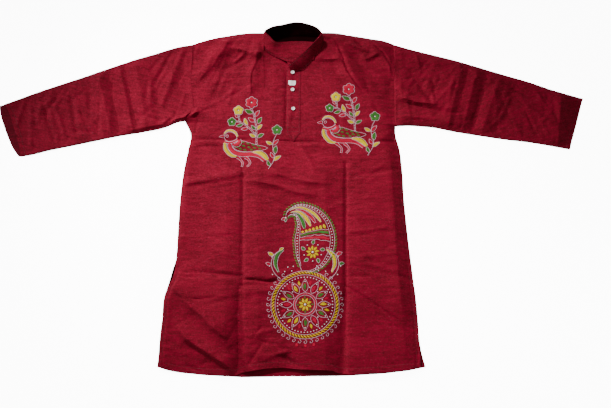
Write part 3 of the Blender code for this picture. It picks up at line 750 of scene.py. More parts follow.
Press = namedtuple("Press", "topX lowX height")  # a crease from the upper to the lower edge
sleeves = dict(
    left=dict(
        grain=15.3, outward=-1,
        upper=[(-307, 414), (-372, 393), (-436, 372), (-501, 348), (-564, 324), (-628, 301), (-691, 278),
               (-754, 254), (-781, 244.5)],
        lower=[(-298, 194), (-337, 178), (-393, 165), (-456, 154), (-520, 140), (-582, 126), (-645, 112),
               (-692, 99), (-717, 94)],
        topCuff=[(-773, 244.5), (-759, 220), (-743, 181), (-731, 150), (-715, 96)],
        underCuff=[(-788.8, 245), (-781, 212), (-769, 181), (-754, 147), (-740, 120), (-720, 94)],
        presses=[
            (-790, -760, 1.6), (-700, -680, 2.6), (-655, -626, 4.4), (-640, -610, 2.8), (-590, -560, 4.2),
            (-552, -510, 2.4), (-526, -477, 5.8), (-500, -460, 1.6), (-470, -419, 5.0), (-460, -413, 2.4),
            (-427, -384, 6.4), (-385, -350, 2.6), (-345, -318, 2.8), (-290, -290, 1.4), (-262, -262, 0.6),
        ],
        creases=[
            (-660, 225, -629, 138, 6, -1.6), (-633, 232, -607, 167, 6, 1.6), (-594, 262, -573, 167, 7, -1.8),
            (-573, 167, -539, 163, 6, -1.2), (-300, 395, -345, 250, 8, 2.0), (-330, 392, -372, 300, 6, -1.6),
            (-545, 322, -505, 300, 6, 1.2), (-405, 210, -350, 196, 6, -1.4), (-700, 230, -690, 130, 7, 1.4),
        ],
        folds=[(9.0, 14, 3, [(-320, 190), (-292, 201), (-262, 214)]),
               (5.0, 20, 4, [(-440, 166), (-405, 171), (-346, 184), (-318, 210)])],
        seed=21, box=(-740, 110, -280, 390),
    ),
    right=dict(
        grain=-13.6, outward=1,
        upper=[(321, 408), (386, 390), (451, 372), (516, 351), (580, 330), (644, 310), (707, 286), (771, 266),
               (788.8, 261)],
        lower=[(314, 183), (346, 181), (378, 178), (441, 165), (505, 154), (568, 144), (632, 136), (695, 125),
               (741, 116)],
        topCuff=[(788.8, 261), (774, 214), (758, 165), (741, 116)],
        underCuff=[(787.8, 261), (773, 214), (757, 165), (740, 116)],
        presses=[
            (262, 262, 0.6), (300, 296, 3.0), (360, 345, 1.6), (420, 384, 3.2), (469, 416, 5.8),
            (487, 429, 3.2), (509, 456, 5.6), (532, 483, 1.6), (571, 505, 5.4), (618, 537, 2.4),
            (664, 590, 3.8), (700, 650, 4.4), (728, 706, 8.6), (764, 728, 2.2), (790, 745, 0.3),
        ],
        creases=[
            (294, 249, 430, 216, 6, -2.4), (300, 262, 420, 230, 11, 1.8), (298, 398, 412, 362, 9, 1.8),
            (483, 179, 516, 275, 6, -1.4), (587, 257, 560, 200, 6, 1.4), (330, 340, 372, 260, 8, -1.6),
            (640, 230, 690, 190, 7, 1.4), (600, 290, 650, 262, 6, -1.2),
        ],
        folds=[(6.0, 14, 3, [(292, 262), (330, 248), (392, 238)]),
               (5.0, 14, 3, [(286, 300), (300, 282), (322, 270)]),
               (10.0, 36, 13, [(284, 206), (330, 205), (370, 200), (420, 188), (455, 180)]),
               (3.0, 16, 5, [(318, 372), (360, 366), (408, 352)])],
        seed=22, box=(290, 130, 740, 380),
    ),
)
sleeve = dict(
    thick=0.8, edge=2.6, middle=1.5, crown=7.0, lowest=2.6, puff=0.5, loop=1.0, hem=12.0, seamOverlap=3.0,
    pressed=2.1, pressedMean=3.2, relief=2.0, uneven=[(0.9, 62.0, 0), (0.45, 27.0, 50)], edgeFade=22.0,
    crumple=dict(count=80, slant=(40, 140), lengths=(20, 80), heights=(0.35, 1.0)),
    foldFade=7.0, loopReach=9.0, armRise=24.0, least=0.1,
    sewnEnd=2.1, sewnRise=1.5, sewnReach=20.0, underEnd=0.3, underReach=4.0,  # where the body covers it
    armFade=6, cuffFade=8, stations=196, top=68, under=28,
)


def sleevePlan(side, cuff, share):  # plan points of a layer, station by station, at these shares of its width
    data = sleeves[side]
    armholeY = np.linspace(body["high"], body["armpit"][side], 60)
    armholeX = sideX("back" + side.capitalize(), armholeY) - data["outward"] * sleeve["seamOverlap"]
    armhole = np.stack([armholeX, armholeY], axis=-1)
    s = np.linspace(0, 1, sleeve["stations"] + 1)
    upper = along([tuple(armhole[0])] + data["upper"], s)
    lower = along([tuple(armhole[-1])] + data["lower"], s)
    u, s = share[None, :, None], s[:, None, None]
    plan = (1 - u) * upper[:, None] + u * lower[:, None]
    armBend = along(armhole, share)[None] - plan[:1]
    cuffBend = along(data[cuff], share)[None] - plan[-1:]
    return plan + (1 - s) ** sleeve["armFade"] * armBend + s ** sleeve["cuffFade"] * cuffBend


def pressedHeight(presses, x, shares):  # straight between one pressed crease and the next, column by column
    height, rows = np.zeros_like(x), sorted(map(Press._make, presses))
    for j, share in enumerate(shares):
        lines = [row.topX + share * (row.lowX - row.topX) for row in rows]
        height[:, j] = np.interp(x[:, j], lines, [row.height for row in rows])
    return height


def sleeveShares(count):  # shares of the width, closer together towards both edges
    even = np.linspace(0, 1, count + 1)
    return 0.35 * (0.5 - 0.5 * np.cos(np.pi * even)) + 0.65 * even


def makeSleeve(side, material, shadeMaterial):
    data, look = sleeves[side], sleeve
    topShare, underShare = sleeveShares(look["top"]), sleeveShares(look["under"])[1:-1]
    top, lower = sleevePlan(side, "topCuff", topShare), sleevePlan(side, "underCuff", underShare)
    width = np.linalg.norm(top[:, 0] - top[:, -1], axis=-1)[:, None]
    toArm = np.linalg.norm(top - top[:1], axis=-1)
    toCuff = np.linalg.norm(top - top[-1:], axis=-1)
    x, y = top[..., 0], top[..., 1]
    small = randomCreases(data["seed"], box=data["box"], **look["crumple"])
    relief = look["pressed"] * (pressedHeight(data["presses"], x, topShare) - look["pressedMean"])
    relief += look["relief"] * creaseHeight(data["creases"] + small, x, y)
    for share, size, more in look["uneven"]:
        relief += share * unevenness(x, y, size, data["seed"] + more)
    edge = np.minimum(topShare, 1 - topShare)[None] * width
    inside = np.clip(edge / look["edgeFade"], look["least"], 1)
    crown = look["crown"] + look["puff"] * inside
    crown = crown + relief * inside * smooth(toArm / look["armRise"] + look["least"])
    folded = foldHeight(data["folds"], x, y) * np.clip(edge / look["foldFade"], look["least"], 1)
    crown += folded + look["loop"] * np.exp(-edge / look["loopReach"])
    crown += hemForm(toCuff, look["hem"]) + pucker(toArm, y) + pucker(toCuff - look["hem"], y, **hemWaves)
    crown = np.maximum(crown, look["lowest"])
    rounding = lambda away: np.sqrt(np.clip(1 - (1 - np.clip(away / look["edge"], 0, 1)) ** 2, 0, 1))
    topZ = look["middle"] + (crown - look["middle"]) * rounding(edge)
    underEdge = np.minimum(underShare, 1 - underShare)[None] * width
    underZ = look["middle"] * (1 - rounding(underEdge))
    # the sewn end dips under the body's edge
    sewn = look["sewnEnd"] + look["sewnRise"] * np.clip(edge / look["sewnReach"], 0, 1)
    topZ = topZ - (topZ - sewn) * (1 - smooth(toArm / (look["seamOverlap"] + 0.6)))
    toArmUnder = np.linalg.norm(lower - lower[:1], axis=-1)
    underZ = np.maximum(underZ, look["underEnd"] * (1 - smooth(toArmUnder / look["underReach"])))
    ring = np.concatenate([raised(top, topZ), raised(lower, underZ)[:, ::-1]], axis=1)
    if side == "left":
        ring = ring[:, ::-1]
    # the tube's inner faces take the painted-shade cloth, which shows on the under layer beyond the cuff
    return shell("sleeve." + side, ring, look["thick"], material, wrap=True, shadeMaterial=shadeMaterial)


# Collar: one band whose two ends cross at the front

bands = [  # x, y and z of the sewn edge, and then of the free one
    (62, 374, 8.4, 66, 425, 8.5),
    (38, 371, 8.6, 44, 426.5, 9.5),
    (14, 367, 8.6, 22, 427, 10),
    (-10, 368, 8.4, 0, 426, 12),
    (-34, 378, 7.4, -23, 422, 17),
    (-60, 392, 5.6, -44, 419, 26),
    (-77, 411, 4.6, -58, 430.5, 32),
    (-80, 434, 4.4, -72, 446, 34),
    (-65, 442, 3.4, -58, 457, 33),
    (-32, 447, 2.8, -25, 467, 30),
    (7, 448, 2.8, 13, 475.9, 28),
    (46, 447, 2.8, 51, 468, 29),
    (76, 442, 3.6, 75, 453, 32),
    (87, 434, 4.6, 82, 441, 34),
    (84, 417, 5.0, 72, 425, 34),
    (70, 392, 5.6, 53, 405, 31),
    (54, 367, 6.6, 33, 385, 28),
    (34, 347, 7.8, 12, 365.5, 27),
    (15, 342, 7.8, -2, 354.5, 24),
    (0, 342, 7.8, -8, 352, 19),
]
collar = dict(
    thick=1.6, bulge=2.0, length=540.0, width=38.0, along=260, across=18,
    stitches=(3.4, 34.6), grooves=(3.5, 34.5), grooveDepth=0.35, grooveWidth=1.4,
    uneven=[(0.5, 26.0, 5), (0.35, 11.0, 6)],
)


def collarGrid():
    seam = np.array([row[:3] for row in bands], float)
    edge = np.array([row[3:] for row in bands], float)
    knots = byLength((seam + edge) / 2)
    at = np.linspace(0, 1, collar["along"] + 1)
    seam, edge = hermite(knots, seam, at), hermite(knots, edge, at)
    across = np.linspace(0, 1, collar["across"] + 1)[None, :, None]
    middle = (1 - across) * seam[:, None] + across * edge[:, None]
    middle = middle + collar["bulge"] * np.sin(math.pi * across) * facing(middle)
    run, share = at[:, None] * collar["length"], across[..., 0]
    high = share * collar["width"]
    wave = sum(part * unevenness(run, share * 40.0, size, seed) for part, size, seed in collar["uneven"])
    wave = wave * np.sin(math.pi * share) ** 0.5 + 0.5 * pucker(high, run, **stripWaves)
    for groove in collar["grooves"]:
        wave -= collar["grooveDepth"] * np.exp(-((high - groove) / collar["grooveWidth"]) ** 2)
    return middle + facing(middle) * (collar["thick"] / 2 + wave[..., None])


def makeCollar(material, shadeMaterial):
    grid = collarGrid()
    # the band's inner faces take the near-black painted-shade cloth
    return shell("collar", grid, collar["thick"], material, shadeMaterial=shadeMaterial), grid


# Placket: two strips, a blank label and three buttons

placket = dict(
    left=-11.5, right=24.2, top=345.0, shoulder=160.0, point=(7.5, 139.0), tip=2.0,
    thick=1.0, gap=0.15, stitch=2.2, groove=0.35, grooveWidth=1.1, swell=0.25, swellReach=3.0,
    uneven=0.3, unevenSize=13.0, seed=7, waves=0.25,
)
underPlacket = dict(
    thick=1.0, gap=0.2,
    leftEdge=[(-8, 172), (-8, 260), (-8, 346), (-11, 365), (-42, 386)],
    rightEdge=[(12, 172), (12, 260), (12, 346), (34, 362), (58, 380), (66, 400)],
    topEdge=[(-42, 386), (-22, 397), (2, 402), (30, 405), (66, 400)],
)
label = dict(left=-7.6, right=12.4, low=297.6, high=311.6, corner=4.0, thick=0.7, gap=0.25)
buttons = dict(
    places=[(4.0, 336.0), (4.0, 285.0), (6.0, 229.0)], radius=5.0, thick=2.4, rim=1.1, dish=0.6, gap=0.25,
    holes=4, hole=0.75, holesAt=1.5, sides=48,
)


class Ground:  # the surface under something that is laid on, found from above
    def __init__(self, *things):
        self.trees = []
        for thing in things:
            points = [point.co.copy() for point in thing.data.vertices]
            faces = [list(face.vertices) for face in thing.data.polygons]
            self.trees.append(BVHTree.FromPolygons(points, faces))

    def height(self, x, y, missing=4.0):
        found = []
        for tree in self.trees:
            hit = tree.ray_cast(Vector((x * mm, y * mm, 0.2)), Vector((0, 0, -1)))[0]
            if hit:
                found.append(hit.z / mm)
        return max(found) if found else missing

    def under(self, plan):
        flat = [self.height(x, y) for x, y in plan.reshape(-1, 2)]
        return np.array(flat).reshape(plan.shape[:-1])


def blur(grid, times):  # evens out heights on a grid
    for _ in range(times):
        padded = np.pad(grid, 1, mode="edge")
        grid = (padded[:-2, 1:-1] + padded[2:, 1:-1] + padded[1:-1, :-2] + padded[1:-1, 2:]) / 4
    return grid


def makeUnderPlacket(ground, material):
    v = np.linspace(0, 1, 90)
    left, right = (along(underPlacket[edge], v) for edge in ("leftEdge", "rightEdge"))
    shares = np.linspace(0, 1, 16)
    low = left[0] + shares[:, None] * (right[0] - left[0])
    plan = patch(left, right, low, along(underPlacket["topEdge"], shares), shares, body["fade"])
    resting = blur(ground.under(np.minimum(plan, (np.inf, placket["top"]))), 6)
    height = resting + underPlacket["gap"] + underPlacket["thick"]
    return shell("placket.under", raised(plan, height), underPlacket["thick"], material)


def crosswise(left, right, y, count):  # plan of a strip whose cells run straight across
    shares = np.linspace(0, 1, count)
    x = left[:, None] + shares * (right - left)[:, None]
    return np.stack([x, np.broadcast_to(y[:, None], x.shape)], axis=-1), shares


def placketPlan():
    low, high = placket["shoulder"], placket["top"]
    y = np.concatenate([np.linspace(placket["point"][1], low, 12)[:-1], np.linspace(low, high, 92)])
    toPoint = np.clip((low - y) / (low - placket["point"][1]), 0, 1)
    left = placket["left"] + toPoint * (placket["point"][0] - placket["tip"] / 2 - placket["left"])
    right = placket["right"] + toPoint * (placket["point"][0] + placket["tip"] / 2 - placket["right"])
    return *crosswise(left, right, y, 20), y


def makePlacket(ground, material):
    look = placket
    plan, shares, y = placketPlan()
    side = np.minimum(shares, 1 - shares)[None] * (look["right"] - look["left"])
    sewn = -look["groove"] * np.exp(-((side - look["stitch"]) / look["grooveWidth"]) ** 2)
    sewn = sewn + look["swell"] * smooth(side / look["swellReach"])
    sewn = sewn + look["uneven"] * unevenness(plan[..., 0], plan[..., 1], look["unevenSize"], look["seed"])
    sewn = sewn + look["waves"] * pucker(side, y[:, None], **stripWaves)
    height = blur(ground.under(plan), 8) + look["gap"] + look["thick"] + sewn
    return shell("placket", raised(plan, height), look["thick"], material)


def makeLabel(ground, material):
    corner = label["low"] + label["corner"]
    y = np.concatenate([np.linspace(label["low"], corner, 7)[:-1], np.linspace(corner, label["high"], 14)])
    cut = np.clip(corner - y, 0, None)
    plan, _ = crosswise(label["left"] + cut, label["right"] - cut, y, 26)
    height = blur(ground.under(plan), 4) + label["gap"] + label["thick"]
    return shell("label", raised(plan, height), label["thick"], material)


def buttonProfile():  # radius and height, from under the middle round the rim to the dish on top
    radius, thick, dish = buttons["radius"], buttons["thick"], buttons["dish"]
    inner = radius - buttons["rim"]
    return [
        (0.0, 0.0), (radius * 0.82, 0.0), (radius * 0.97, thick * 0.25), (radius, thick * 0.5),
        (radius * 0.97, thick * 0.82), (radius * 0.88, thick), (inner * 1.04, thick * 0.97),
        (inner * 0.9, thick - dish), (inner * 0.5, thick - dish * 1.15), (0.0, thick - dish * 1.2),
    ]


def turnedDisc(name, profile, around, material):
    points, faces = [], []
    for r, z in profile:
        angles = [2 * math.pi * k / around for k in range(around if r else 1)]
        points += [(r * math.cos(angle), r * math.sin(angle), z) for angle in angles]
    starts = np.cumsum([0] + [around if r else 1 for r, _ in profile])
    for level in range(len(profile) - 1):
        a, b = starts[level], starts[level + 1]
        for k in range(around):
            n = (k + 1) % around
            if profile[level][0] == 0.0:
                faces.append([a, b + n, b + k])
            elif profile[level + 1][0] == 0.0:
                faces.append([a + k, a + n, b])
            else:
                faces.append([a + k, a + n, b + n, b + k])
    return newPiece(name, points, faces, [material], sharp=50.0)


def makeButton(name, place, ground, material):
    disc = turnedDisc(name, buttonProfile(), buttons["sides"], material)
    cutters, away = [], buttons["holesAt"] * mm
    for k in range(buttons["holes"]):
        angle = math.pi / 4 + 2 * math.pi * k / buttons["holes"]
        bpy.ops.mesh.primitive_cylinder_add(vertices=14, radius=buttons["hole"] * mm, depth=8 * mm,
                                            location=(away * math.cos(angle), away * math.sin(angle), 0))
        cutters.append(bpy.context.object)
        cut = disc.modifiers.new("hole", "BOOLEAN")
        cut.operation, cut.object, cut.solver = "DIFFERENCE", cutters[-1], "EXACT"
    evaluated = disc.evaluated_get(bpy.context.evaluated_depsgraph_get())
    mesh = bpy.data.meshes.new_from_object(evaluated)
    disc.modifiers.clear()
    disc.data = mesh
    for cutter in cutters:
        bpy.data.objects.remove(cutter, do_unlink=True)
    x, y = place
    disc.location = (x * mm, y * mm, (ground.height(x, y) + buttons["gap"]) * mm)
    return disc


# Threads: each stitch is a small closed bead along its own line

def threadMesh(name, lines, ups, halfWidths, halfHeights, slots, materials):
    # lines: stitches x stations x 3, drawn through the middle of each bead
    lines, ups = np.asarray(lines, float), np.asarray(ups, float)
    count, stations = lines.shape[:2]
    t = np.linspace(0, 1, stations)
    full = np.sqrt(np.clip(1 - (2 * t - 1) ** 6, 0.12, 1))[None, :, None]
    run = np.gradient(lines, axis=1)
    ups = np.broadcast_to(ups[:, None], lines.shape)
    side = np.cross(run, ups)
    side /= np.maximum(np.linalg.norm(side, axis=-1, keepdims=True), 1e-9)
    w, h = np.asarray(halfWidths)[:, None, None] * full, np.asarray(halfHeights)[:, None, None] * full
    ring = np.stack([lines - side * w, lines + ups * h, lines + side * w, lines - ups * h], axis=2)
    points = ring.reshape(-1, 3)
    base = np.arange(count)[:, None] * stations * 4
    cells = [[i * 4 + k, (i + 1) * 4 + k, (i + 1) * 4 + (k + 1) % 4, i * 4 + (k + 1) % 4]
             for i in range(stations - 1) for k in range(4)]
    cells += [[0, 1, 2, 3], [(stations - 1) * 4 + k for k in (3, 2, 1, 0)]]
    faces = (base[:, :, None] + np.array(cells)[None]).reshape(-1, 4)
    thing = newPiece(name, points, faces, materials, sharp=180.0)
    thing.data.polygons.foreach_set("material_index", np.repeat(np.asarray(slots, np.int32), len(cells)))
    return thing


def evenPoints(points, step, closed=False):  # places every step along a smooth line
    points = np.asarray(points, float)
    if closed:
        points = np.concatenate([points, points[:1]])
    fine = along(points, np.linspace(0, 1, 40 * len(points)))
    lengths = travelled(fine)
    count = max(2, int(round(lengths[-1] / step)) + 1)
    at = np.linspace(0, lengths[-1], count)
    return np.stack([np.interp(at, lengths, fine[:, k]) for k in range(fine.shape[1])], axis=-1)


# Machine stitching in the cloth's own thread

sewing = dict(pitch=3.2, gap=0.7, lift=0.08, halfWidth=0.42, halfHeight=0.34)
straightUp = (0.0, 0.0, 1.0)


def sewingMesh(name, lines, ups, material):
    widths, heights = (np.full(len(lines), sewing[half]) for half in ("halfWidth", "halfHeight"))
    return threadMesh(name, lines, ups, widths, heights, np.zeros(len(lines)), [material])


def sewOnTop(name, routes, ground, material):  # routes are plan lines sewn through the cloth below them
    lines = []
    for route in routes:
        knots = evenPoints(route, sewing["pitch"])
        run = np.diff(knots, axis=0)
        shorten = run * sewing["gap"] / sewing["pitch"]
        t = np.linspace(0, 1, 4)[None, :, None]
        plan = knots[:-1, None] + t * (run - shorten)[:, None]
        lines.append(raised(plan, ground.under(plan) + sewing["lift"]))
    lines = np.concatenate(lines)
    return sewingMesh(name, lines, np.tile(straightUp, (len(lines), 1)), material)


def panelRoutes():
    hemX = np.linspace(-308, 308, 40)
    routes = [np.stack([hemX, hemY("frontY", hemX) + front["hem"]], axis=-1)]
    for side, sign in (("left", 1), ("right", -1)):
        y = np.linspace(-440, body["sideSlitTop"][side] - 6, 30)
        x = sideX("front" + side.capitalize(), y) + sign * front["slitHem"]
        routes.append(np.stack([x, y], axis=-1))
    return routes


def cuffRoute(side):
    share = np.linspace(0.02, 0.98, 30)
    plan = sleevePlan(side, "topCuff", share)
    run = np.linalg.norm(plan - plan[-1:], axis=-1)
    return np.array([[np.interp(sleeve["hem"], run[::-1, j], plan[::-1, j, k]) for k in (0, 1)]
                     for j in range(len(share))])


def placketRoutes():
    inset, low, high = placket["stitch"], placket["shoulder"], placket["top"] - 5
    left, right = placket["left"] + inset, placket["right"] - inset
    tip = (placket["point"][0], placket["point"][1] + 1.6 * inset)
    corners = [(left, high), (left, low), tip, (right, low), (right, high)]
    across = [[(left, low + up), (right, low + up)] for up in (4, 16)]
    routes = [*zip(corners, corners[1:]), *across]
    return [along(route, np.linspace(0, 1, 12)) for route in routes]


def collarStitches(grid, material):
    normal = facing(grid)
    lines, ups = [], []
    for high in collar["stitches"]:
        row = high / collar["width"] * collar["across"]
        low, part = int(row), row - int(row)
        line = (1 - part) * grid[:, low] + part * grid[:, low + 1]
        up = (1 - part) * normal[:, low] + part * normal[:, low + 1]
        lengths = travelled(line)
        for start in np.arange(2.0, lengths[-1] - 4.0, sewing["pitch"]):
            at = start + np.linspace(0, sewing["pitch"] - sewing["gap"], 4)
            lines.append(np.stack([np.interp(at, lengths, line[:, k]) for k in range(3)], axis=-1))
            ups.append([np.interp(start, lengths, up[:, k]) for k in range(3)])
    lines, ups = np.array(lines), np.array(ups)
    return sewingMesh("stitching.collar", lines + ups[:, None] * sewing["lift"], ups, material)


# Embroidery: stitches are drawn in plan, each with its thread, and then laid on the cloth below them

threadColors = dict(
    lilac=(0.66, 0.49, 0.58), white=(0.75, 0.74, 0.75), red=(0.446, 0.004, 0.035),
    yellow=(0.60, 0.46, 0.001), green=(0.045, 0.165, 0.025),
)
threadNames = list(threadColors)
threadLook = dict(roughness=0.6, speck=0.25, bump=0.00006, size=0.0007, shine=0.12)
handStitch = dict(fill=0.95, spacing=0.92, lift=0.30, above=0.12, flat=0.84)


def turned(points, angle):
    c, s = math.cos(math.radians(angle)), math.sin(math.radians(angle))
    x, y = np.moveaxis(np.asarray(points, float), -1, 0)
    return np.stack([x * c - y * s, x * s + y * c], axis=-1)


def polar(radius, angle):
    return np.array([radius * math.cos(math.radians(angle)), radius * math.sin(math.radians(angle))])


def arc(radius, angles):
    return np.array([polar(radius, angle) for angle in angles])


def normals2(points):  # unit normals to the left of a plan line
    run = np.gradient(np.asarray(points, float), axis=0)
    run /= np.maximum(np.linalg.norm(run, axis=1, keepdims=True), 1e-9)
    return np.stack([-run[:, 1], run[:, 0]], axis=-1)


class Needlework:
    def __init__(self, at):
        self.at, self.starts, self.ends, self.widths, self.threads = np.asarray(at, float), [], [], [], []

    def stitches(self, starts, ends, thread, width):
        self.starts.append(np.atleast_2d(starts))
        self.ends.append(np.atleast_2d(ends))
        count = len(self.starts[-1])
        self.widths.append(np.full(count, width))
        self.threads.append(np.full(count, threadNames.index(thread)))

    def line(self, points, thread="lilac", closed=False, width=1.2, pitch=3.6, gap=0.45):
        knots = evenPoints(points, pitch, closed)
        run = np.diff(knots, axis=0)
        shorten = run / np.linalg.norm(run, axis=1, keepdims=True) * gap / 2
        self.stitches(knots[:-1] + shorten, knots[1:] - shorten, thread, width)

    def satin(self, first, second, thread):  # threads from one line to the other
        reach = max(travelled(line)[-1] for line in (first, second))
        at = np.linspace(0, 1, max(3, int(reach / handStitch["spacing"])))
        self.stitches(along(first, at), along(second, at), thread, handStitch["fill"])

    def band(self, points, widths, thread, slant=0.35):  # a filled stripe along a line
        t = np.linspace(0, 1, 30)
        middle = along(points, t)
        half = hermite(np.linspace(0, 1, len(widths)), widths, t)[:, None] / 2 * normals2(middle)
        fill = half * 0.86 + 2 * slant * np.gradient(middle, axis=0)
        self.satin(middle + fill, middle - fill, thread)
        self.line(middle + half)
        self.line(middle - half)

    def leaf(self, root, angle, length, width, thread, edged=True, veined=False):
        t = np.linspace(0, 1, 24)
        side = width / 1.8 * np.sin(np.pi * t**0.85) ** 0.9
        bend = 0.06 * length * np.sin(np.pi * t)
        place = lambda x, y: turned(np.stack([x, y], axis=-1), angle) + root
        upper, lower = place(t * length, bend + side), place(t * length, bend - side)
        middle = place(t * length * 0.92, bend)
        for sign in (1, -1):
            self.satin(middle, place((t * 0.88 + 0.10) * length, bend + sign * side * 0.84), thread)
        if edged:
            self.line(upper, width=1.05)
            self.line(lower, width=1.05)
        if veined:
            self.line(place(t * length * 0.8, bend), thread, width=0.8)

    def wreath(self, middle, count, first, radius, length, width, thread, lean=0.0, **look):
        for angle in first + 360 / count * np.arange(count):
            self.leaf(polar(radius, angle) + middle, angle + lean, length, width, thread, **look)

    def flower(self, middle, radius, petals, thread, depth=0.24, turn=90.0):
        angles = np.linspace(0, 360, int(2 * np.pi * radius / handStitch["fill"]), endpoint=False)
        wave = lambda a: np.abs(np.cos(np.radians(petals * (a - turn) / 2))) ** 0.8
        reach = lambda a: radius * (1 - depth + depth * wave(a))
        rim = np.array([polar(0.94 * reach(a), a) for a in angles])
        root = np.array([polar(radius * (0.20 if k % 2 else 0.50), a) for k, a in enumerate(angles)])
        self.stitches(root + middle, rim + middle, thread, handStitch["fill"])
        outline = np.array([polar(reach(a), a) for a in np.arange(turn, turn + 360, 360 / (petals * 8))])
        self.line(outline + middle, closed=True, pitch=2.4, gap=0.3)
        self.knot(middle, 1.9)

    def knot(self, middle, radius, thread="white"):  # a small round of crossed threads
        for angle in (0, 60, 120):
            arm = polar(radius, angle)
            self.stitches(np.asarray(middle) - arm, np.asarray(middle) + arm, thread, 1.15 * radius)

    def dots(self, points, step, radius=1.35, closed=False):
        for place in evenPoints(points, step, closed)[: -1 if closed else None]:
            self.knot(place, radius)

    def ring(self, middle, radius, **look):
        self.line(arc(radius, range(0, 360, 10)) + middle, closed=True, **look)

    def sew(self, name, ground, materials):
        starts, ends = (np.concatenate(rows) + self.at for rows in (self.starts, self.ends))
        widths, threads = np.concatenate(self.widths), np.concatenate(self.threads)
        t = np.linspace(0, 1, 5)[None, :, None]
        plan = starts[:, None] * (1 - t) + ends[:, None] * t
        length = np.linalg.norm(ends - starts, axis=1)[:, None]
        lift = handStitch["lift"] * np.sin(np.pi * t[..., 0]) * np.clip(length / 6.0, 0.3, 1)
        lines = raised(plan, ground.under(plan) + lift + handStitch["above"])
        halfHeights = widths / 2 * handStitch["flat"]
        return threadMesh(name, lines, np.tile(straightUp, (len(lines), 1)), widths / 2, halfHeights, threads,
                          materials)


spray = dict(
    stems=[
        [(0, 0), (-1, 28), (-2, 52), (-5, 68), (-9, 87), (-16, 102)],
        [(-2, 28), (-14, 40), (-28, 54), (-48, 65), (-60, 67)],
        [(-47, 66), (-48, 76), (-49, 86)],
    ],
    thinStem=[(32, -70), (45, -48), (49, -28), (43, -6), (46, 14), (53, 28)],
    leaves=[  # root, direction, length, width and thread
        ((-10, 90), 158, 25, 11, "green"), ((-4, 80), 58, 20, 9, "red"), ((-5, 66), 152, 21, 10, "red"),
        ((3, 59), 62, 21, 10, "green"), ((-25, 55), 112, 22, 9, "yellow"), ((1, 42), 48, 20, 9, "yellow"),
        ((-3, 42), 132, 18, 8, "green"), ((-37, 58), 196, 20, 8, "green"), ((-23, 47), 190, 20, 8, "red"),
        ((-2, 23), 158, 19, 9, "yellow"), ((2, 20), 30, 20, 9, "green"), ((-52, 76), 118, 12, 6, "red"),
        # on the thin stem
        ((42, 0), 152, 19, 9, "yellow"), ((44, -2), 48, 22, 9, "red"), ((49, -27), 80, 24, 11, "green"),
        ((47, -38), 122, 18, 8, "red"), ((46, -46), 36, 24, 9, "yellow"), ((37, -62), 112, 19, 8, "green"),
    ],
    flowers=[  # middle, radius, petals and thread
        ((-15, 119), 17.0, 6, "red"), ((-50, 97), 14.0, 5, "yellow"), ((-67, 65), 12.0, 5, "green"),
        ((54, 41), 14.0, 5, "green"),
    ],
)
bird = dict(
    head=[(-87, 27), (-80, 34), (-70, 36), (-58, 30), (-53, 19), (-62, 12), (-74, 9), (-84, 15)],
    eye=(-79, 25),
    beak=[(-88, 29), (-101, 23), (-88, 20)],
    wing=[(-63, -6), (-56, 6), (-42, 11), (-22, 6), (0, -1), (18, -5), (30, -10), (15, -17), (-9, -20),
          (-36, -19), (-55, -14)],
    feathers=[(-57, -5), (-50, 3), (-41, 8), (-48, -10), (-39, -2), (-28, 4), (-36, -13), (-25, -6), (-14, 0),
              (-18, -13), (-10, -8), (0, -3), (4, -11)],
    bands=[  # line, widths along it and thread: crest, throat, nape, breast, belly and tail
        ([(-87, 32), (-80, 39), (-70, 41), (-58, 35), (-51, 23)], [2, 5, 6, 6, 3], "yellow"),
        ([(-86, 8), (-74, 5), (-62, 8), (-50, 16)], [6, 6, 6, 6], "red"),
        ([(-48, 15), (-46, 6), (-53, -1), (-63, 1)], [11, 13, 12, 8], "red"),
        ([(-84, 4), (-83, -9), (-76, -21), (-66, -30), (-53, -33)], [7, 10, 10, 9, 5], "yellow"),
        ([(-72, 3), (-69, -10), (-57, -22), (-36, -27), (-12, -27), (6, -33), (22, -46)],
         [11, 12, 13, 13, 12, 9, 8], "red"),
        ([(-9, -21), (6, -23), (20, -31), (30, -43)], [4, 12, 14, 8], "yellow"),
    ],
    legs=[[(-50, -34), (-41, -43), (-36, -50), (-38, -62)], [(-29, -35), (-20, -43), (-16, -51), (-24, -62)]],
    legWidths=[8, 5, 4, 4],
)


def drawSpray(work):
    for stem in spray["stems"]:
        points = np.array(stem, float)
        for apart in (1.7, -1.7):
            work.line(points + apart * normals2(points), width=0.95)
        work.dots(points, 8.0, 0.7)
    work.line(spray["thinStem"], width=1.3)
    for leaf in spray["leaves"]:
        work.leaf(*leaf)
    for flower in spray["flowers"]:
        work.flower(*flower)


def drawBird(work):
    work.line(bird["head"], closed=True, width=1.1)
    for points, widths, thread in bird["bands"]:
        work.band(points, widths, thread)
    for leg in bird["legs"]:
        work.band(leg, bird["legWidths"], "red", 0.2)
    work.ring(bird["eye"], 3.6, pitch=2.4)
    work.knot(bird["eye"], 1.5, "red")
    work.satin([(-89, 28), (-101, 23.5)], [(-89, 21), (-101, 23)], "red")  # fills the beak
    work.line(bird["beak"], width=0.9)
    work.line(bird["wing"], closed=True, width=1.1)
    for root in bird["feathers"]:
        work.leaf(root, -20, 10.5, 5.5, "green", edged=False)


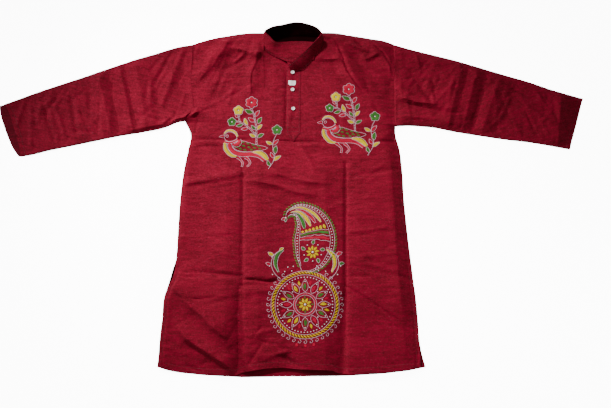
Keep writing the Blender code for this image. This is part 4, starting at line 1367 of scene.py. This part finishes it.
rosette = dict(
    rope=81.0, ropeWidth=7.2, ropeStep=7.8, ropeLean=2.6, radian=57.3, edges=(86.0, 75.5), dotsAt=69.5,
    hooks=40, hooksOpen=(62, 118), petals=12,  # the kalka rises where the hooks leave room
    petalRoot=32.0, petalLength=34.0, petalWidth=16.0, band=(24.0, 29.5),
    curl=[(87.5, 0), (93, 2.8), (97, 0.6), (95, -2.0), (92, -0.6)],  # a hook's radii and turns from its foot
)
kalka = dict(
    middle=[(-4, 84), (8, 106), (20, 136), (25, 168), (20, 202), (3, 230), (-20, 244), (-42, 238),
            (-50, 226)],
    half=[6, 34, 46, 51, 48, 40, 27, 12, 1],
    bands=[(0.385, 0.415, "red"), (0.445, 0.472, "green")], lines=[0.375, 0.43, 0.485], inner=0.78,
    dotsAt=0.89, dotStep=7.5, toothStep=7.4, toothApart=0.85,
    tooth=((1.6, -1.0), (6.6, 4.4)),  # its foot and its tip, off the rim and along it
    plumes=[  # from one share of the width to another, between two shares of the length
        (0.34, 0.66, 0.57, 0.90, "green"), (-0.03, 0.28, 0.57, 0.93, "yellow"),
        (-0.34, -0.09, 0.58, 0.86, "red"), (-0.66, -0.40, 0.57, 0.92, "yellow"),
    ],
)


def drawRosette(work):
    look, centre = rosette, np.zeros(2)
    for radius in look["edges"]:
        work.ring(centre, radius, width=1.1)
    half, lean = look["ropeWidth"] / 2, look["ropeLean"]
    for angle in np.arange(0, 360, look["ropeStep"] / look["rope"] * look["radian"]):
        for at in (angle - 0.55, angle + 0.55):  # slanted stitches in pairs
            foot, tip = polar(look["rope"] - half, at - lean), polar(look["rope"] + half, at + lean)
            work.stitches(foot, tip, "yellow", 1.5)
    for k in range(look["hooks"]):
        angle = 360 / look["hooks"] * k
        if not look["hooksOpen"][0] < angle < look["hooksOpen"][1]:
            curl = [polar(radius, angle + turn) for radius, turn in look["curl"]]
            work.line(curl, pitch=2.3, gap=0.2, width=0.95)
    work.dots(arc(look["dotsAt"], range(0, 360, 10)), 8.0, closed=True)
    for k in range(look["petals"]):
        angle = 90 + 360 / look["petals"] * k
        root = polar(look["petalRoot"], angle)
        t = np.linspace(0, 1, 16)
        half = look["petalWidth"] / 2 * np.sin(np.pi * t**0.8)
        for side in (half, -half):
            rim = turned(np.stack([t * look["petalLength"], side], axis=-1), angle)
            work.line(rim + root, width=1.1)
        thread = ("green", "yellow", "green", "red")[k % 4]
        work.leaf(root + polar(5, angle), angle, 18, 8.5, thread, edged=False)
        work.knot(root + polar(26.5, angle), 1.4)
        between = angle + 180 / look["petals"]
        work.leaf(polar(50, between), between, 13, 6.5, ("yellow", "red")[k % 2], edged=False)
        work.knot(polar(45, between), 1.3)
    inner, outer = look["band"]
    around = np.arange(0, 361, 10)
    work.satin(arc(inner + 0.9, around), arc(outer - 0.9, around), "red")
    for radius in look["band"]:
        work.ring(centre, radius, width=1.1)
    work.wreath(centre, 8, 22.5, 4.0, 13.5, 7.0, "yellow", edged=False, veined=True)
    work.wreath(centre, 8, 45.0, 14, 8, 4.5, "green", edged=False)
    work.knot(centre, 2.8)
    for angle in (-102, -90, -78):  # buds below
        for lean in (-16, 0, 16):
            work.leaf(polar(98, angle), angle + lean, 9.5, 5, "red", edged=False)


def drawKalka(work):
    look, t = kalka, np.linspace(0, 1, 90)
    middle = along(look["middle"], t)
    across = normals2(middle)
    half = hermite(np.linspace(0, 1, len(look["half"])), look["half"], t)[:, None]
    edge = lambda share: middle + across * half * share  # -1 is the right edge and 1 the left
    span = lambda share, low, high: edge(share)[(t >= low) & (t <= high)]

    def rung(at, reach, bow=0.02):  # a bowed line across the body
        shares = np.linspace(-reach, reach, 11)
        places = np.searchsorted(t, at + bow * (1 - (shares / reach) ** 2))
        return np.array([edge(share)[place] for share, place in zip(shares, places)])

    for sign in (1, -1):
        work.line(edge(sign)[::3])
        work.line(span(look["inner"] * sign, 0.04, 0.95)[::2], width=1.1)
        work.dots(span(look["dotsAt"] * sign, 0.08, 0.88)[::2], look["dotStep"])
        rim = evenPoints(edge(sign)[3:87], look["toothStep"])
        out = normals2(rim) * sign
        run = np.gradient(rim, axis=0)
        run /= np.linalg.norm(run, axis=1, keepdims=True)
        for shift in (-look["toothApart"], look["toothApart"]):  # slanted green stitches in pairs
            foot, tip = (rim + out * off + run * (shift + on) for off, on in look["tooth"])
            work.stitches(foot, tip, "green", 1.9)
    # a flower in the belly with leaves and dots round it
    heart = along(look["middle"], [0.25])[0]
    work.wreath(heart, 9, 10, 4.5, 13, 6.5, "yellow", edged=False, veined=True)
    work.knot(heart, 2.8)
    work.wreath(heart, 5, 18, 20, 13, 8, "green", lean=-20)
    for dot in arc(23, range(54, 414, 72)):
        work.knot(heart + dot, 1.4)
    # red and green bands across the body between lines, and a row of yellow points above them
    for low, high, thread in look["bands"]:
        work.satin(rung(low, 0.72), rung(high, 0.72), thread)
    for at in look["lines"]:
        work.line(rung(at, 0.76))
    for share in np.linspace(-0.62, 0.62, 7):
        foot, tip = (edge(share)[np.searchsorted(t, at)] for at in (0.495, 0.545))
        angle = math.degrees(math.atan2(*(tip - foot)[::-1]))
        work.leaf(foot, angle, np.linalg.norm(tip - foot), 8.0, "yellow", edged=False)
    for first, second, low, high, thread in look["plumes"]:  # long curved leaves up to the tip
        part = (t >= low) & (t <= high)
        swell = np.sin(np.pi * (t[part] - low) / (high - low))[:, None] ** 0.5 * (second - first) / 2
        centre = (first + second) / 2
        rims = [middle[part] + across[part] * half[part] * (centre + sign * swell) for sign in (1, -1)]
        work.satin(*rims, thread)
        for rim in rims:
            work.line(rim[::2], width=1.0)
    end = look["middle"][-1]
    work.leaf(end, 205, 13, 7, "red")
    work.leaf(end, 262, 12, 6, "green")
    work.knot(end, 1.7)


def drawSideSprigs(work):
    for hand, first, second in ((-1, "green", "yellow"), (1, "yellow", "red")):
        stem = np.array([(62, 64), (78, 80), (86, 102), (80, 126), (66, 138)], float) * (hand, 1)
        work.line(stem, width=1.3)
        inner, outer = stem[1:] * (0.97, 1) + (-5 * hand, 2), stem[1:] + (-13 * hand, 3)
        work.band((inner + outer) / 2, [3, 9, 10, 4], first)
        work.leaf(stem[3], 90 - 62 * hand, 17, 9, second)
        work.leaf(stem[2], 90 - 74 * hand, 15, 8, "red" if hand < 0 else "green")
        work.leaf(stem[-1], 90 + 55 * hand, 14, 7, second)
        for place in stem[1:4]:
            work.knot(place + (4.5 * hand, -4), 1.4)
        for x, y in ((34, 86), (44, 96), (52, 84), (30, 98)):
            work.knot((x * hand, y), 1.4)


# Assembly

makeCamera()
makeLight("key", lighting["key"])
makeLight("side", lighting["side"])
makeSky()
bpy.ops.mesh.primitive_plane_add(size=floorLook["size"], location=(0, 0, 0))
floor = bpy.context.object
floor.name = "floor"
floor.data.materials.append(floorFinish())
alone = bpy.data.collections.new("floor.alone")  # the floor's glow lights nothing else
alone.objects.link(floor)
floor.light_linking.receiver_collection = alone
floor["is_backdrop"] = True
print("camera, lights and floor are set")

bodyCloth = clothFinish("cloth.body")
# near-black copy of the cloth that paints shade on the collar's inner faces and inside the neck and the slit
blackShadeCloth = clothFinish("cloth.painted_shade.black", shade=0.05, shine=0.02)
backPiece = makeBack(bodyCloth, blackShadeCloth)
frontPiece = makeFront(bodyCloth)
print("body panels are cut")
# dimmed copy of the cloth that paints shade on the sleeves' inner faces
dimShadeCloth = clothFinish("cloth.painted_shade.dim", shade=0.7, shine=0.1)
sleevePieces = {side: makeSleeve(side, clothFinish("cloth." + side, sleeves[side]["grain"]), dimShadeCloth)
                for side in ("left", "right")}
collarPiece, collarPoints = makeCollar(clothFinish("cloth.collar"), blackShadeCloth)
print("sleeves and collar are set in")

onFront = Ground(frontPiece)
underPiece = makeUnderPlacket(onFront, bodyCloth)
onUnder = Ground(frontPiece, underPiece)
placketPiece = makePlacket(onUnder, bodyCloth)
onPlacket = Ground(placketPiece)
plain = {name: plainFinish(name, **look) for name, look in plainLooks.items()}
labelPiece = makeLabel(onPlacket, plain["label"])
buttonPieces = [makeButton(f"button.{n}", place, onPlacket, plain["button"])
                for n, place in enumerate(buttons["places"], 1)]
print("placket, label and buttons are sewn on")

crimson = plain["thread.crimson"]
bodySewing = sewOnTop("stitching.body", panelRoutes(), onFront, crimson)
placketSewing = sewOnTop("stitching.placket", placketRoutes(), onPlacket, crimson)
cuffSewing = {}
for side, piece in sleevePieces.items():
    cuffSewing[side] = sewOnTop("stitching.cuff." + side, [cuffRoute(side)], Ground(piece), crimson)
collarSewing = collarStitches(collarPoints, crimson)
print("seams are stitched")

threadFinishes = [plainFinish("thread." + name, color, **threadLook) for name, color in threadColors.items()]
embroidery = []
for side, place in (("left", (-91, 128)), ("right", (171, 166))):
    work = Needlework(place)
    drawSpray(work)
    drawBird(work)
    embroidery.append(work.sew("embroidery." + side, onFront, threadFinishes))
work = Needlework((38, -298))
drawRosette(work)
drawKalka(work)
drawSideSprigs(work)
embroidery.append(work.sew("embroidery.middle", onFront, threadFinishes))
print("embroidery is worked:", sum(len(piece.data.polygons) for piece in embroidery), "faces")

dressed = {
    "back_panel": ([backPiece], "cloth"),
    "front_panel": ([frontPiece, bodySewing, *embroidery], "cloth"),
    "sleeve_left": ([sleevePieces["left"], cuffSewing["left"]], "cloth"),
    "sleeve_right": ([sleevePieces["right"], cuffSewing["right"]], "cloth"),
    "collar_band": ([collarPiece, collarSewing], "cloth"),
    "placket_under": ([underPiece], "cloth"),
    "placket_upper": ([placketPiece, placketSewing], "cloth"),
    "placket_label": ([labelPiece], "label"),
    **{f"button_{n}": ([piece], "button") for n, piece in enumerate(buttonPieces, 1)},
}
for node, (pieces, slot) in dressed.items():
    for piece in pieces:
        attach(piece, "root")
    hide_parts(node)

boxes = {"cad": cadBox, "visual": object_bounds()}
{name: [list(corner) for corner in box] for name, box in boxes.items()}
